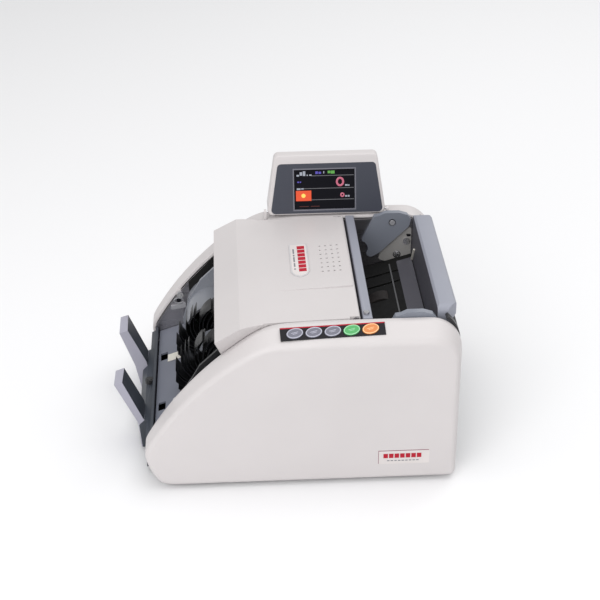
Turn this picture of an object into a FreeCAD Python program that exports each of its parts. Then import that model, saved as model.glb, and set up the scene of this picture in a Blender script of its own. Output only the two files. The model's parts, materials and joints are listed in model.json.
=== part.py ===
import FreeCAD, Part
import math
import os

from FreeCAD import Vector

# A table-top banknote counter with a rear hopper and a front stacker.
# Millimetres.  X runs across the machine, Y from the stacker (-Y) to the hopper (+Y), Z is up.
# The origin is on the table, under the middle of the machine.

# ---- driving dimensions ------------------------------------------------------------------
WIDTH = 245.0            # over the two side shells
REAR_Y = 151.25          # rear face of the side shells
BODY_TOP = 154.0         # flat top of the side shells
SHELL_FOOT = 4.0         # underside of the side shells
SHELL_WALL = 2.5
RIM_X = 98.0             # inner edge of each side shell
SHOULDER_X = 104.0       # where the right shell's sloping shoulder starts
SHOULDER_DROP = 10.0     # how far the shoulder falls over its width
FRAME_X = 95.0           # inner face of each side frame: 190 mm clear for the notes
FRAME_WALL = 1.5
FLOOR_Z = 6.0            # underside of the base plate
BASE_WALL = 1.5

COVER_FRONT_Y = -59.75   # front top edge of the top cover
COVER_REAR_Y = 64.5
COVER_HINGE = (61.0, 151.5)      # (Y, Z) of the cover's hinge axis
COVER_WALL = 2.5
COVER_SIDE_X = 97.3
COVER_SKIRT_X = 94.5     # the skirt hangs inside the side frames

IMPELLER = (-58.75, 64.0)        # (Y, Z) of each shaft
DRIVE = (-6.0, 78.0)
FEED = (62.0, 84.0)
PICK = (98.0, 86.0)
MAIN_MOTOR = (60.0, 40.0)
FAN_MOTOR = (-8.0, 36.0)
IMPELLER_R = 39.0
DRIVE_R = 12.0
FEED_R = 16.0
PICK_R = 18.5
PINCH_R = 7.0
RETARD_R = 9.0
ROLLER_X = 30.0          # the rollers sit at this distance either side of the middle
IMPELLER_X = 27.0
SHAFT_R = 3.0
BEARING_R = 6.5
RUNNING = 0.05           # radial running clearance
GAP = 0.4                # clearance between pieces that pass each other
PINCH = (DRIVE[0], DRIVE[1] + DRIVE_R + PINCH_R + GAP)
RETARD = (60.0, FEED[1] + FEED_R + RETARD_R + GAP)

BAR_FRONT_Y = 66.6       # hopper's front bar
BAR_REAR_Y = 74.75
REAR_COVER_Y = 147.25    # inner face of the rear cover
BOX_FRONT_Y = 131.0      # hopper's back box
BOX_REAR_Y = 148.0
BOX_TOP = 159.0
BOX_END_X = 90.0
BOX_END_R = 7.0          # the box's top is rounded down to its ends

DISPLAY_HINGE = (-101.2, 159.2)  # (X, Z) of the display's hinge axis
DISPLAY_FOOT = 155.6
DISPLAY_TOP = 212.0

PARTS = {}


# ---- helpers -----------------------------------------------------------------------------
def box(x0, x1, y0, y1, z0, z1):
    return Part.makeBox(x1 - x0, y1 - y0, z1 - z0, Vector(x0, y0, z0))


def rod_x(y, z, radius, x0, x1):
    return Part.makeCylinder(radius, x1 - x0, Vector(x0, y, z), Vector(1, 0, 0))


def rod_y(x, z, radius, y0, y1):
    return Part.makeCylinder(radius, y1 - y0, Vector(x, y0, z), Vector(0, 1, 0))


def rod_z(x, y, radius, z0, z1):
    return Part.makeCylinder(radius, z1 - z0, Vector(x, y, z0))


def ring_x(y, z, radius, bore, x0, x1):
    return rod_x(y, z, radius, x0, x1).cut(rod_x(y, z, bore, x0 - 1, x1 + 1))


def prism_x(points, x0, x1):
    corners = [Vector(x0, y, z) for y, z in points]
    face = Part.Face(Part.makePolygon(corners + corners[:1]))
    return face.extrude(Vector(x1 - x0, 0, 0))


def prism_y(points, y0, y1):
    corners = [Vector(x, y0, z) for x, z in points]
    face = Part.Face(Part.makePolygon(corners + corners[:1]))
    return face.extrude(Vector(0, y1 - y0, 0))


def ruled_prism(first, x0, second, x1):
    """A solid between two side outlines with the same number of corners."""
    ends = []
    for points, x in ((first, x0), (second, x1)):
        corners = [Vector(x, y, z) for y, z in points]
        ends.append(Part.makePolygon(corners + corners[:1]))
    return Part.makeLoft(ends, True, True)


def prism_z(points, z0, z1):
    corners = [Vector(x, y, z0) for x, y in points]
    face = Part.Face(Part.makePolygon(corners + corners[:1]))
    return face.extrude(Vector(0, 0, z1 - z0))


def join(*shapes):
    whole = shapes[0].fuse(list(shapes[1:]))
    return whole.removeSplitter()


def group(shapes):
    return Part.makeCompound(shapes)


def mirror_x(shape):
    return shape.mirror(Vector(0, 0, 0), Vector(1, 0, 0))


def both_sides(shape):
    return group([shape, mirror_x(shape)])


def add(name, shape):
    PARTS[name] = shape


# ---- the machine's side outline ------------------------------------------------------------
# Each row: Y, Z, the outward direction there, and how much of the shoulder's drop it takes.
R_REAR = 28.0
R_HEEL = 8.0
DIAG = math.sqrt(0.5)
OUTLINE = [
    (-109.25, SHELL_FOOT, -0.8, -1.0, 0.0),
    (-118.6, 18.0, -0.95, -0.35, 0.0),
    (-124.25, 39.0, -1.07, 0.14, 0.0),
    (-78.5, 101.3, -0.75, 0.66, 0.18),
    (-31.0, 141.6, -0.58, 0.81, 0.6),
    (-15.9, 149.3, -0.33, 0.94, 0.8),
    (2.25, 152.7, -0.09, 1.0, 1.0),
    (24.0, BODY_TOP, 0.0, 1.0, 1.0),
    (REAR_Y - R_REAR, BODY_TOP, 0.0, 1.0, 1.0),
    (REAR_Y - R_REAR * (1 - DIAG), BODY_TOP - R_REAR * (1 - DIAG), DIAG, DIAG, 0.85),
    (REAR_Y, BODY_TOP - R_REAR, 1.0, 0.0, 0.4),
    (REAR_Y, SHELL_FOOT + R_HEEL, 1.0, 0.0, 0.4),
    (REAR_Y - R_HEEL * (1 - DIAG), SHELL_FOOT + R_HEEL * (1 - DIAG), DIAG, -DIAG, 0.2),
    (REAR_Y - R_HEEL, SHELL_FOOT, 0.0, -1.0, 0.0),
]


def outline(x, inset=0.0, drop=0.0):
    """The side outline at one X, moved inwards by inset, and by drop where the shoulder is."""
    p = []
    for y, z, out_y, out_z, share in OUTLINE:
        depth = inset + drop * share
        p.append(Vector(x, y - out_y * depth, z - out_z * depth))
    edges = [
        Part.Arc(p[0], p[1], p[2]).toShape(),
        Part.Arc(p[2], p[3], p[4]).toShape(),
        Part.Arc(p[4], p[5], p[6]).toShape(),
        Part.makeLine(p[6], p[7]),
        Part.makeLine(p[7], p[8]),
        Part.Arc(p[8], p[9], p[10]).toShape(),
        Part.makeLine(p[10], p[11]),
        Part.Arc(p[11], p[12], p[13]).toShape(),
        Part.makeLine(p[13], p[0]),
    ]
    return Part.Wire(edges)


def outline_prism(inset, x0, x1):
    return Part.Face(outline(x0, inset)).extrude(Vector(x1 - x0, 0, 0))


def loft(sections):
    return Part.makeLoft([outline(*section) for section in sections], True, True)


# ---- shoulder frame: along Y, down the slope and out of it ---------------------------------
SLOPE_RUN = WIDTH / 2 - SHOULDER_X


STRIP_MIDDLE = (8.1, 39.8)   # down the slope from the crease, and Y
STRIP_TURN = 2.1         # degrees; the strip climbs the slope a little towards the rear
STRIP_LONG = 88.8
STRIP_WIDE = 12.4
STRIP_WALL = 0.8
KEY_PITCH = 16.0
KEY_LONG = 7.25          # half axes of each oval key
KEY_SHORT = 5.0
KEY_TURN = 12.0          # degrees the ovals are turned on the strip
KEY_RISE = 0.7           # height of a key over the strip
KEY_NAMES = ["menu_button", "mode_button", "batch_button", "start_button", "reset_button"]


def on_shoulder(shape):
    """Moves a shape drawn about the strip's middle: X down the slope, Y along it, Z out of it."""
    turned = shape.copy()
    turned.rotate(Vector(0, 0, 0), Vector(0, 0, 1), STRIP_TURN)
    turned.translate(Vector(STRIP_MIDDLE[0], STRIP_MIDDLE[1], 0))
    turned.rotate(Vector(0, 0, 0), Vector(0, 1, 0), math.degrees(math.atan2(SHOULDER_DROP, SLOPE_RUN)))
    turned.translate(Vector(SHOULDER_X, 0, BODY_TOP))
    return turned


def key_y(index):
    return (index - 2) * KEY_PITCH


def oval(y, margin, z0, z1):
    """An oval prism standing on the strip."""
    ellipse = Part.Ellipse(Vector(0, 0, 0), KEY_LONG + margin, KEY_SHORT + margin)
    solid = Part.Face(Part.Wire(ellipse.toShape())).extrude(Vector(0, 0, z1 - z0))
    solid.rotate(Vector(0, 0, 0), Vector(0, 0, 1), 90 + KEY_TURN)
    solid.translate(Vector(0, y, z0))
    return solid


# ---- side shells and frames ----------------------------------------------------------------
BOSSES = [(-94.75, 75.0), (-92.0, 20.0), (-20.0, 132.0), (132.0, 22.0), (126.0, 127.0)]
BOSS_R = 4.0
CHEEK_SCREW = (111.5, 148.5)
BEARING_SEATS = [IMPELLER, DRIVE, FEED, PICK]


def add_side_shells():
    half = WIDTH / 2
    wall = SHELL_WALL
    left = loft([(-RIM_X, 0), (-half + 4.5, 0), (-half + 1.3, 1.3), (-half, 4.5)])
    left = left.cut(loft([(-RIM_X + 1, wall), (-half + 5.0, wall), (-half + wall, 6.0)]))
    right = loft([(RIM_X, 0, 0), (SHOULDER_X, 0, 0), (half - 1.5, 0, 9.2), (half, 1.8, SHOULDER_DROP)])
    right = right.cut(loft([(RIM_X - 1, wall), (SHOULDER_X - 0.6, wall, 0), (half - wall, wall, 9.0)]))
    half_long = STRIP_LONG / 2 - 0.8
    right = right.cut(on_shoulder(box(-5.8, 5.8, -half_long, half_long, -6, 2)))
    bosses = [rod_x(y, z, BOSS_R, FRAME_X + FRAME_WALL, half - wall + 0.5) for y, z in BOSSES]
    sockets = [rod_x(y, z, 1.2, FRAME_X, half - wall - 4) for y, z in BOSSES]
    right = join(right, *bosses).cut(group(sockets))
    left = join(left, *[mirror_x(b) for b in bosses]).cut(group([mirror_x(s) for s in sockets]))
    lugs = [display_lug(y0, y1) for y0, y1 in LUG_SPANS]
    add("left_side_shell", join(left, *lugs))
    add("right_side_shell", right)


def add_side_frames():
    plate = outline_prism(3.0, FRAME_X, FRAME_X + FRAME_WALL)
    plate = plate.cut(box(0, 200, -200, 200, -10, FLOOR_Z))
    plate = plate.cut(box(0, 200, REAR_COVER_Y - GAP, 200, -10, 200))
    ear_y, ear_z = COVER_HINGE
    ear = join(rod_x(ear_y, ear_z, 2.8, FRAME_X, FRAME_X + FRAME_WALL),
               box(FRAME_X, FRAME_X + FRAME_WALL, ear_y - 2.8, ear_y + 2.8, ear_z - 5, ear_z))
    plate = join(plate, ear)
    holes = [rod_x(y, z, BEARING_R, FRAME_X - 1, FRAME_X + 3) for y, z in BEARING_SEATS]
    holes += [rod_x(y, z, 1.5, FRAME_X - 1, FRAME_X + 3) for y, z in BOSSES + [CHEEK_SCREW]]
    holes += [rod_x(ear_y, ear_z, 1.5, FRAME_X - 1, FRAME_X + 3)]
    plate = plate.cut(group(holes))
    motor_holes = [rod_x(*FAN_MOTOR, 6.0, FRAME_X - 1, FRAME_X + 3)]
    add("right_side_frame", plate.cut(group(motor_holes)))
    left = mirror_x(plate)
    add("left_side_frame", left.cut(rod_x(*MAIN_MOTOR, 8.0, -FRAME_X - 3, -FRAME_X + 1)))


def add_base():
    top = FLOOR_Z + BASE_WALL
    pan = box(-FRAME_X, FRAME_X, -112, 144, FLOOR_Z, top)
    front_lip = box(-FRAME_X, FRAME_X, -112, -110.5, FLOOR_Z, 20)
    rear_lip = box(-FRAME_X, FRAME_X, 142.5, 144, FLOOR_Z, 16)
    slots = [box(x - 20, x + 20, y - 1.5, y + 1.5, 0, 20) for x in (-45, 45) for y in range(30, 80, 8)]
    add("base_plate", join(pan, front_lip, rear_lip).cut(group(slots)))
    feet = []
    for x in (-82, 82):
        for y in (-96, 128):
            foot = Part.makeCone(9.5, 8.0, FLOOR_Z, Vector(x, y, 0))
            feet.append(foot.cut(rod_z(x, y, 3.0, -1, 2)))
    add("rubber_feet", group(feet))
    rods = [rod_x(y, z, 4.0, -FRAME_X, FRAME_X) for y, z in [(-104, 22), (30, 131), (90, 57)]]
    add("cross_rods", group(rods + [rod_x(*PINCH, 2.5, -FRAME_X, FRAME_X)]))


def add_screws():
    """The case screws, one in each hopper cheek, and the thumb screw of the stacker fork."""
    heads = [rod_x(y, z, 3.4, FRAME_X - 2.0, FRAME_X) for y, z in BOSSES]
    shanks = [rod_x(y, z, 1.15, FRAME_X, WIDTH / 2 - SHELL_WALL - 6) for y, z in BOSSES]
    screws = [join(h, s) for h, s in zip(heads, shanks)]
    y, z = CHEEK_SCREW
    screws.append(join(rod_x(y, z, 3.2, 91.0, 92.8), rod_x(y, z, 1.5, 92.8, 96.4)))
    thumb = join(rod_z(0, FORK_SCREW_Y, 3.4, 34.6, 38.0), rod_z(0, FORK_SCREW_Y, 1.5, 26.0, 34.6))
    add("case_screws", group(screws + [mirror_x(s) for s in screws] + [thumb]))


# ---- stacker -------------------------------------------------------------------------------
ARM_INNER = 33.0
ARM_OUTER = 60.0
# Side outlines as (Y, Z).  Each arm is ruled between its inner and its outer side.
ARM_INNER_SIDE = [(-133.0, 4.0), (-138.6, 33.5), (-151.25, 69.5), (-143.4, 72.3), (-127.6, 37.0),
                  (-126.5, 30.0), (-128.0, 4.0)]
ARM_OUTER_SIDE = [(-130.6, 4.0), (-131.0, 27.5), (-151.25, 71.5), (-143.9, 73.8), (-125.4, 29.5),
                  (-125.8, 24.0), (-127.0, 4.0)]
FORK_RIDGE = [(-120.4, 35.5), (-120.4, 39.0), (-118.0, 39.0), (-117.4, 33.0)]
FORK_MIDDLE = [(-129.6, 4.0), (-131.5, 28.0), (-126.5, 33.2), *FORK_RIDGE, (-124.0, 29.6), (-126.0, 4.0)]
FORK_LEDGE = [(-124.4, 6.0), (-124.4, 33.6), *FORK_RIDGE, (-121.4, 31.0), (-121.4, 6.0)]
FORK_SCREW_Y = -123.5
FLOOR_FRONT = (-116.6, 34.5)
FLOOR_BACK = (-80.6, 46.6)


def add_stacker():
    middle = prism_x(FORK_MIDDLE, -ARM_OUTER - 0.5, ARM_OUTER + 0.5)
    base = join(middle, prism_x(FORK_LEDGE, -94.0, 94.0))
    arm = ruled_prism(ARM_INNER_SIDE, ARM_INNER, ARM_OUTER_SIDE, ARM_OUTER)
    hole = join(rod_z(0, FORK_SCREW_Y, 1.6, 20, 50), rod_z(0, FORK_SCREW_Y, 3.6, 34.6, 50))
    add("stacker_fork", join(base, arm, mirror_x(arm)).cut(hole))
    (y0, z0), (y1, z1) = FLOOR_FRONT, FLOOR_BACK
    plate = prism_x([(y0, z0), (y1, z1), (y1, z1 - 2), (y0 + 2, z0 - 1.6), (y0 + 2, 24), (y0, 24)],
                    -94.5, 94.5)
    cuts = [rod_x(*IMPELLER, IMPELLER_R + 2, x - 13, x + 13) for x in (-IMPELLER_X, IMPELLER_X)]
    cuts += [box(x - 6.5, x + 6.5, y0 + 2.5, y0 + 9, 20, 60) for x in (-43, 43)]
    cuts += [rod_x(-104, 22, 5.0, -96, 96)]
    add("stacker_floor", plate.cut(group(cuts)))
    slope = math.degrees(math.atan2(z1 - z0, y1 - y0))
    pad = box(-42.5, -30.5, 0, 15.5, 0.0, 0.8)
    pad.rotate(Vector(0, 0, 0), Vector(1, 0, 0), slope)
    pad.translate(Vector(0, y0 + 9.5, z0 + 9.5 * (z1 - z0) / (y1 - y0)))
    add("note_stop_pad", pad)


NOSE_R = 30.0
LOW_NOSE_R = 19.0
GUIDE_CHEEK = [(-91.0, 44.0), (-92.5, 58.0), (-86.0, 79.0), (-74.0, 100.5), (-58.0, 116.0), (-40.0, 119.0),
               (-41.0, 96.5), (-60.0, 91.5), (-76.0, 84.0), (-84.0, 68.0), (-83.0, 47.5)]


def nose(x0, x1, radius):
    """A curved wall round the impeller shaft that runs back under the cover."""
    cy, cz = IMPELLER
    low = math.radians(213)
    high = math.radians(84)

    def at(distance, angle):
        return Vector(x0, cy + distance * math.cos(angle), cz + distance * math.sin(angle))

    middle = (low + high) / 2
    inside = radius - 2
    outer = Part.Arc(at(radius, low), at(radius, middle), at(radius, high)).toShape()
    inner = Part.Arc(at(inside, high), at(inside, middle), at(inside, low)).toShape()
    tail = Vector(x0, -22.0, 88.0)
    tail_low = Vector(x0, -22.0, 86.0)
    edges = [outer, Part.makeLine(at(radius, high), tail), Part.makeLine(tail, tail_low),
             Part.makeLine(tail_low, at(inside, high)), inner,
             Part.makeLine(at(inside, low), at(radius, low))]
    return Part.Face(Part.Wire(edges)).extrude(Vector(x1 - x0, 0, 0))


def add_stack_guide():
    """High noses beside the wheels and a low one between them, slotted for the wheels."""
    noses = [nose(-94.5, -38.0, NOSE_R), nose(-40.0, 72.0, LOW_NOSE_R), nose(70.0, 94.5, NOSE_R)]
    slots = [rod_x(*IMPELLER, IMPELLER_R + 2, x - 13, x + 13) for x in (-IMPELLER_X, IMPELLER_X)]
    cheek = prism_x(GUIDE_CHEEK, 76.0, 79.0)
    add("stack_guide", join(join(*noses).cut(group(slots)), cheek, mirror_x(cheek)))


BLADES = 30
HUB_R = 17.0
BLADE_WALL = 0.9
BLADE_SWEEP = 46.0       # degrees that a blade's tip trails its root


def impeller_wheel(x):
    cy, cz = IMPELLER
    width = 22.0
    x0 = x - width / 2
    hub = ring_x(cy, cz, HUB_R, SHAFT_R, x0, x0 + width)

    def at(radius, degrees):
        angle = math.radians(-degrees)
        return Vector(x0, cy + radius * math.cos(angle), cz + radius * math.sin(angle))

    mean_r = (HUB_R + IMPELLER_R) / 2
    root_wall = math.degrees(BLADE_WALL * 1.4 / HUB_R)
    mid_wall = math.degrees(BLADE_WALL * 1.2 / mean_r)
    tip_wall = math.degrees(BLADE_WALL * 0.8 / IMPELLER_R)
    front = Part.Arc(at(HUB_R - 0.5, 0), at(mean_r, BLADE_SWEEP * 0.28), at(IMPELLER_R, BLADE_SWEEP))
    back = Part.Arc(at(IMPELLER_R, BLADE_SWEEP + tip_wall), at(mean_r, BLADE_SWEEP * 0.28 + mid_wall),
                    at(HUB_R - 0.5, root_wall))
    tip = Part.makeLine(at(IMPELLER_R, BLADE_SWEEP), at(IMPELLER_R, BLADE_SWEEP + tip_wall))
    root = Part.makeLine(at(HUB_R - 0.5, root_wall), at(HUB_R - 0.5, 0))
    edges = [front.toShape(), tip, back.toShape(), root]
    blade = Part.Face(Part.Wire(edges)).extrude(Vector(width, 0, 0))
    blades = []
    for turn in range(BLADES):
        copy = blade.copy()
        copy.rotate(Vector(0, cy, cz), Vector(1, 0, 0), turn * 360.0 / BLADES)
        blades.append(copy)
    return join(hub, *blades)


# ---- rotors, belts and motors --------------------------------------------------------------
PULLEY_WALL = 5.0
LEFT_PLANE_1 = -104.0    # low X end of the belt nearest the left frame
LEFT_PLANE_2 = -111.0
RIGHT_PLANE = 99.0
BELT_WALL = 1.2
PULLEYS = {
    "drive_in": (DRIVE, 12.0), "motor": (MAIN_MOTOR, 6.0), "drive_out": (DRIVE, 8.0),
    "feed": (FEED, 16.0), "feed_out": (FEED, 14.0), "pick": (PICK, 16.1875),
    "impeller": (IMPELLER, 10.0), "fan_motor": (FAN_MOTOR, 8.0),
}


def pulley(name, x0):
    (y, z), radius = PULLEYS[name]
    body = rod_x(y, z, radius, x0, x0 + PULLEY_WALL)
    flanges = [rod_x(y, z, radius + 1.6, x, x + 0.7) for x in (x0 - 0.7, x0 + PULLEY_WALL)]
    return join(body, *flanges)


def pulley_hull(first, second, margin, x0, x1):
    """The area that a belt round two pulleys encloses, as a solid."""
    (c1, r1), (c2, r2) = PULLEYS[first], PULLEYS[second]
    r1 += margin
    r2 += margin
    dy, dz = c2[0] - c1[0], c2[1] - c1[1]
    length = math.hypot(dy, dz)
    heading = math.atan2(dz, dy)
    swing = math.acos((r1 - r2) / length)

    def at(centre, radius, angle):
        return Vector(x0, centre[0] + radius * math.cos(angle), centre[1] + radius * math.sin(angle))

    up, down = heading + swing, heading - swing
    edges = [
        Part.makeLine(at(c1, r1, up), at(c2, r2, up)),
        Part.Arc(at(c2, r2, up), at(c2, r2, heading), at(c2, r2, down)).toShape(),
        Part.makeLine(at(c2, r2, down), at(c1, r1, down)),
        Part.Arc(at(c1, r1, down), at(c1, r1, heading + math.pi), at(c1, r1, up)).toShape(),
    ]
    return Part.Face(Part.Wire(edges)).extrude(Vector(x1 - x0, 0, 0))


def belt(first, second, x0):
    x0 += 0.5
    x1 = x0 + PULLEY_WALL - 1.0
    outer = pulley_hull(first, second, 0.3 + BELT_WALL, x0, x1)
    return outer.cut(pulley_hull(first, second, 0.3, x0, x1))


def shaft(centre, x0, x1):
    """A shaft with a shoulder collar inside each frame, where its bearings end."""
    y, z = centre
    inner = FRAME_X - 2.6
    collars = [rod_x(y, z, SHAFT_R + 1.5, c0, c0 + 3) for c0 in (-inner, inner - 3)]
    return join(rod_x(y, z, SHAFT_R, x0, x1), *collars)


def tyres(centre, radius, width, bore):
    half = width / 2
    return group([ring_x(*centre, radius, bore, x - half, x + half) for x in (-ROLLER_X, ROLLER_X)])


def add_rotors():
    end = FRAME_X + 3.0
    impeller_plane = RIGHT_PLANE + 0.8
    add("impeller_shaft", join(shaft(IMPELLER, -end, RIGHT_PLANE + 6), pulley("impeller", impeller_plane)))
    add("left_impeller", impeller_wheel(-IMPELLER_X))
    add("right_impeller", impeller_wheel(IMPELLER_X))
    fan_axle = rod_x(*FAN_MOTOR, 1.5, 70, RIGHT_PLANE + 6)
    add("fan_motor_pulley", join(fan_axle, pulley("fan_motor", impeller_plane)))

    drive_hubs = [rod_x(*DRIVE, 8.0, x - 9, x + 9) for x in (-ROLLER_X, ROLLER_X)]
    add("drive_shaft", join(shaft(DRIVE, LEFT_PLANE_2 - 1, end), pulley("drive_in", LEFT_PLANE_1),
                            pulley("drive_out", LEFT_PLANE_2), *drive_hubs))
    add("drive_tyres", tyres(DRIVE, DRIVE_R, 18.0, 8.0))
    feed_hubs = [rod_x(*FEED, 12.0, x - 10, x + 10) for x in (-ROLLER_X, ROLLER_X)]
    add("feed_shaft", join(shaft(FEED, LEFT_PLANE_2 - 1, end), pulley("feed_out", LEFT_PLANE_1),
                           pulley("feed", LEFT_PLANE_2), *feed_hubs))
    add("feed_tyres", tyres(FEED, FEED_R, 20.0, 12.0))
    pick_hubs = [rod_x(*PICK, 14.0, x - 8, x + 8) for x in (-ROLLER_X, ROLLER_X)]
    add("pick_shaft", join(shaft(PICK, LEFT_PLANE_1 - 1, end), pulley("pick", LEFT_PLANE_1),
                           *pick_hubs))
    add("pick_tyres", tyres(PICK, PICK_R, 16.0, 14.0))
    add("main_motor_pulley", join(rod_x(*MAIN_MOTOR, 2.0, LEFT_PLANE_1 - 1, -60),
                                  pulley("motor", LEFT_PLANE_1)))
    add("pinch_rollers", tyres(PINCH, PINCH_R, 12.0, 2.5 + RUNNING))
    add("main_belt", belt("motor", "drive_in", LEFT_PLANE_1))
    roller_belts = [belt("drive_out", "feed", LEFT_PLANE_2), belt("feed_out", "pick", LEFT_PLANE_1)]
    add("roller_belts", group(roller_belts))
    add("impeller_belt", belt("impeller", "fan_motor", impeller_plane))

    bearings = [ring_x(y, z, BEARING_R, SHAFT_R + RUNNING, FRAME_X - 2.0, FRAME_X + 2.0)
                for y, z in BEARING_SEATS]
    add("shaft_bearings", group(bearings + [mirror_x(b) for b in bearings]))


def add_motors():
    y, z = MAIN_MOTOR
    can = join(rod_x(y, z, 20.0, -93.0, -48.0), box(-FRAME_X, -93.0, y - 24, y + 24, z - 20, z + 20),
               rod_x(y, z, 9.0, -48.0, -44.0))
    add("main_motor", can.cut(rod_x(y, z, 2.5, -96, -59)))
    y, z = FAN_MOTOR
    can = join(rod_x(y, z, 15.0, 52.0, 93.0), box(93.0, FRAME_X, y - 18, y + 18, z - 15, z + 15))
    add("impeller_motor", can.cut(rod_x(y, z, 2.0, 69, 96)))


def add_electrics():
    board = box(-88, 40, -84, 22, 13.0, 14.6)
    posts = [rod_z(x, y, 2.5, FLOOR_Z + BASE_WALL, 13.0) for x in (-82, 34) for y in (-78, 16)]
    chips = [box(-60, -40, -60, -40, 14.6, 17.0), box(-20, 5, -70, -50, 14.6, 17.5),
             box(-78, -66, -20, 10, 14.6, 22.0), box(10, 30, -30, -5, 14.6, 18.0),
             rod_z(-40, -5, 6, 14.6, 24.0), rod_z(-22, -5, 6, 14.6, 24.0)]
    add("main_board", join(board, *posts, *chips))
    core = box(-30, 36, 92, 127, FLOOR_Z + BASE_WALL, 48)
    coil = box(-18, 24, 88, 131, 14, 42)
    add("transformer", join(core, coil))


# ---- note path -----------------------------------------------------------------------------
# Side outlines as (Y, Z).
LOWER_GUIDE = [(-20.5, 88.2), (10, 88.2), (46, 97.4), (76, 97.4), (76, 95.9), (46, 95.9), (10, 86.7),
               (-20.5, 86.7)]
SENSOR_BAR = [(8, 92.5), (44, 101.5), (44, 114), (38, 119), (14, 119), (8, 113)]
HOPPER_FLOOR = [(77, 97.4), (130.8, 113.0), (130.8, 111.5), (77, 95.9)]
GAP_SCREW = (91.4, 69.8)     # (X, Y)


def add_note_path():
    tyre_cuts = [rod_x(*DRIVE, DRIVE_R + 0.6, x - 9.6, x + 9.6) for x in (-ROLLER_X, ROLLER_X)]
    tyre_cuts += [rod_x(*FEED, FEED_R + 0.6, x - 10.6, x + 10.6) for x in (-ROLLER_X, ROLLER_X)]
    tyre_cuts += [rod_x(*PICK, PICK_R + 0.6, x - 8.6, x + 8.6) for x in (-ROLLER_X, ROLLER_X)]
    lower = prism_x(LOWER_GUIDE, -94.5, 94.5)
    add("lower_guide_plate", lower.cut(group(tyre_cuts)))
    sensor = prism_x(SENSOR_BAR, -90, 90)
    straps = box(-FRAME_X, FRAME_X, 20, 32, 112, 118)
    add("sensor_bar", join(sensor, straps))
    floor = prism_x(HOPPER_FLOOR, -94.5, 94.5)
    slots = [box(x - 1.5, x + 1.5, 84, 122, 90, 120) for x in (-70, -50, 50, 70)]
    add("hopper_floor", floor.cut(group(tyre_cuts + slots)))

    wall = box(-FRAME_X, FRAME_X, 72.75, BAR_REAR_Y, 103.5, 126)
    beam = box(-FRAME_X, FRAME_X, BAR_FRONT_Y, BAR_REAR_Y, 124, 151.3)
    cap = box(-COVER_SIDE_X, COVER_SIDE_X, BAR_FRONT_Y, BAR_REAR_Y, 151.3, 155.0)
    cap = cap.makeFillet(1.4, [e for e in cap.Edges if min(v.Z for v in e.Vertexes) > 154.9])
    screw_hole = rod_z(*GAP_SCREW, 1.5 + RUNNING, 130, 160)
    notches = [box(x - 10.6, x + 10.6, 60, 76, 100, 107) for x in (-ROLLER_X, ROLLER_X)]
    add("hopper_front_bar", join(wall, beam, cap).cut(group(notches + [screw_hole])))
    x, y = GAP_SCREW
    knob = join(rod_z(x, y, 2.6, 155.3, 157.4), rod_z(x, y, 1.5, 131, 155.3))
    groove = box(x + 2.2, x + 3.0, y - 0.4, y + 0.4, 155.2, 158)
    grooves = []
    for turn in range(12):
        copy = groove.copy()
        copy.rotate(Vector(x, y, 0), Vector(0, 0, 1), turn * 30.0)
        grooves.append(copy)
    slot = box(x - 4, x + 4, y - 0.4, y + 0.4, 156.8, 158)
    add("gap_screw", knob.cut(group(grooves + [slot])))

    block = box(-46, 46, 50, BAR_FRONT_Y, 120, 137)
    ears = [box(x, x + 3, 56, 64, RETARD[1] - 4, 120) for x in (-46, -21.4, 18.4, 43)]
    axle = rod_x(*RETARD, 2.0, -46, 46)
    add("retard_block", join(block, *ears, axle))
    add("retard_rollers", tyres(RETARD, RETARD_R, 16.0, 2.0))


CHEEK_CROWN = [(126.0, 156.0), (118.0, 158.6), (104.5, 158.6), (99.0, 155.9), (94.2, 155.2)]
CHEEK_OUTLINE = [(92.0, 150.5), (82.3, 131.0), (87.6, 114.0), (91.5, 111.7), (99.6, 116.2), (127.5, 143.5),
                 (129.5, 151.0), *CHEEK_CROWN]


def add_hopper_shell():
    cheek = prism_x(CHEEK_OUTLINE, 91.6, FRAME_X - 0.1)
    flange = prism_x([(92.6, 151.6), (129.4, 151.6), *CHEEK_CROWN], FRAME_X - 0.5, COVER_SIDE_X)
    cheek = join(cheek, flange)
    y, z = CHEEK_SCREW
    cheek = cheek.cut(group([rod_x(y, z, 1.5, 90, 98), rod_x(y, z, 3.6, 90, 92.8)]))
    cheek = cheek.cut(rod_x(79.5, 121.0, 9.0, 90, 94.95))
    add("hopper_cheeks", both_sides(cheek))

    rear_low = BOX_REAR_Y - 3.2
    outer = prism_x([(BOX_FRONT_Y, 108), (BOX_FRONT_Y, BOX_TOP - 2), (BOX_FRONT_Y + 2, BOX_TOP),
                     (BOX_REAR_Y - 1.6, BOX_TOP), (BOX_REAR_Y, BOX_TOP - 1.6), (BOX_REAR_Y, 147.5),
                     (rear_low, 144.0), (rear_low, 108)], -BOX_END_X, BOX_END_X)
    rounded = box(-BOX_END_X, BOX_END_X, BOX_FRONT_Y - 1, BOX_REAR_Y + 1, 100, BOX_TOP)
    ends = [e for e in rounded.Edges if e.BoundBox.XLength < 0.01 and e.BoundBox.ZMin > BOX_TOP - 0.1]
    rounded = rounded.makeFillet(BOX_END_R, ends)
    chamfer = prism_z([(BOX_END_X - 8.5, BOX_REAR_Y + 1), (BOX_END_X + 1, BOX_REAR_Y - 9.5),
                       (BOX_END_X + 1, BOX_REAR_Y + 1)], 100, 170)
    inner_y = BOX_FRONT_Y + 2.2
    inner = prism_x([(inner_y, 100), (inner_y, BOX_TOP - 3), (BOX_REAR_Y - 4, BOX_TOP - 3),
                     (rear_low - 2.5, 146.0), (rear_low - 2.5, 100)], -BOX_END_X + 8, BOX_END_X - 8)
    add("hopper_back_box", outer.common(rounded).cut(group(both_sides(chamfer).Solids)).cut(inner))


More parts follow.
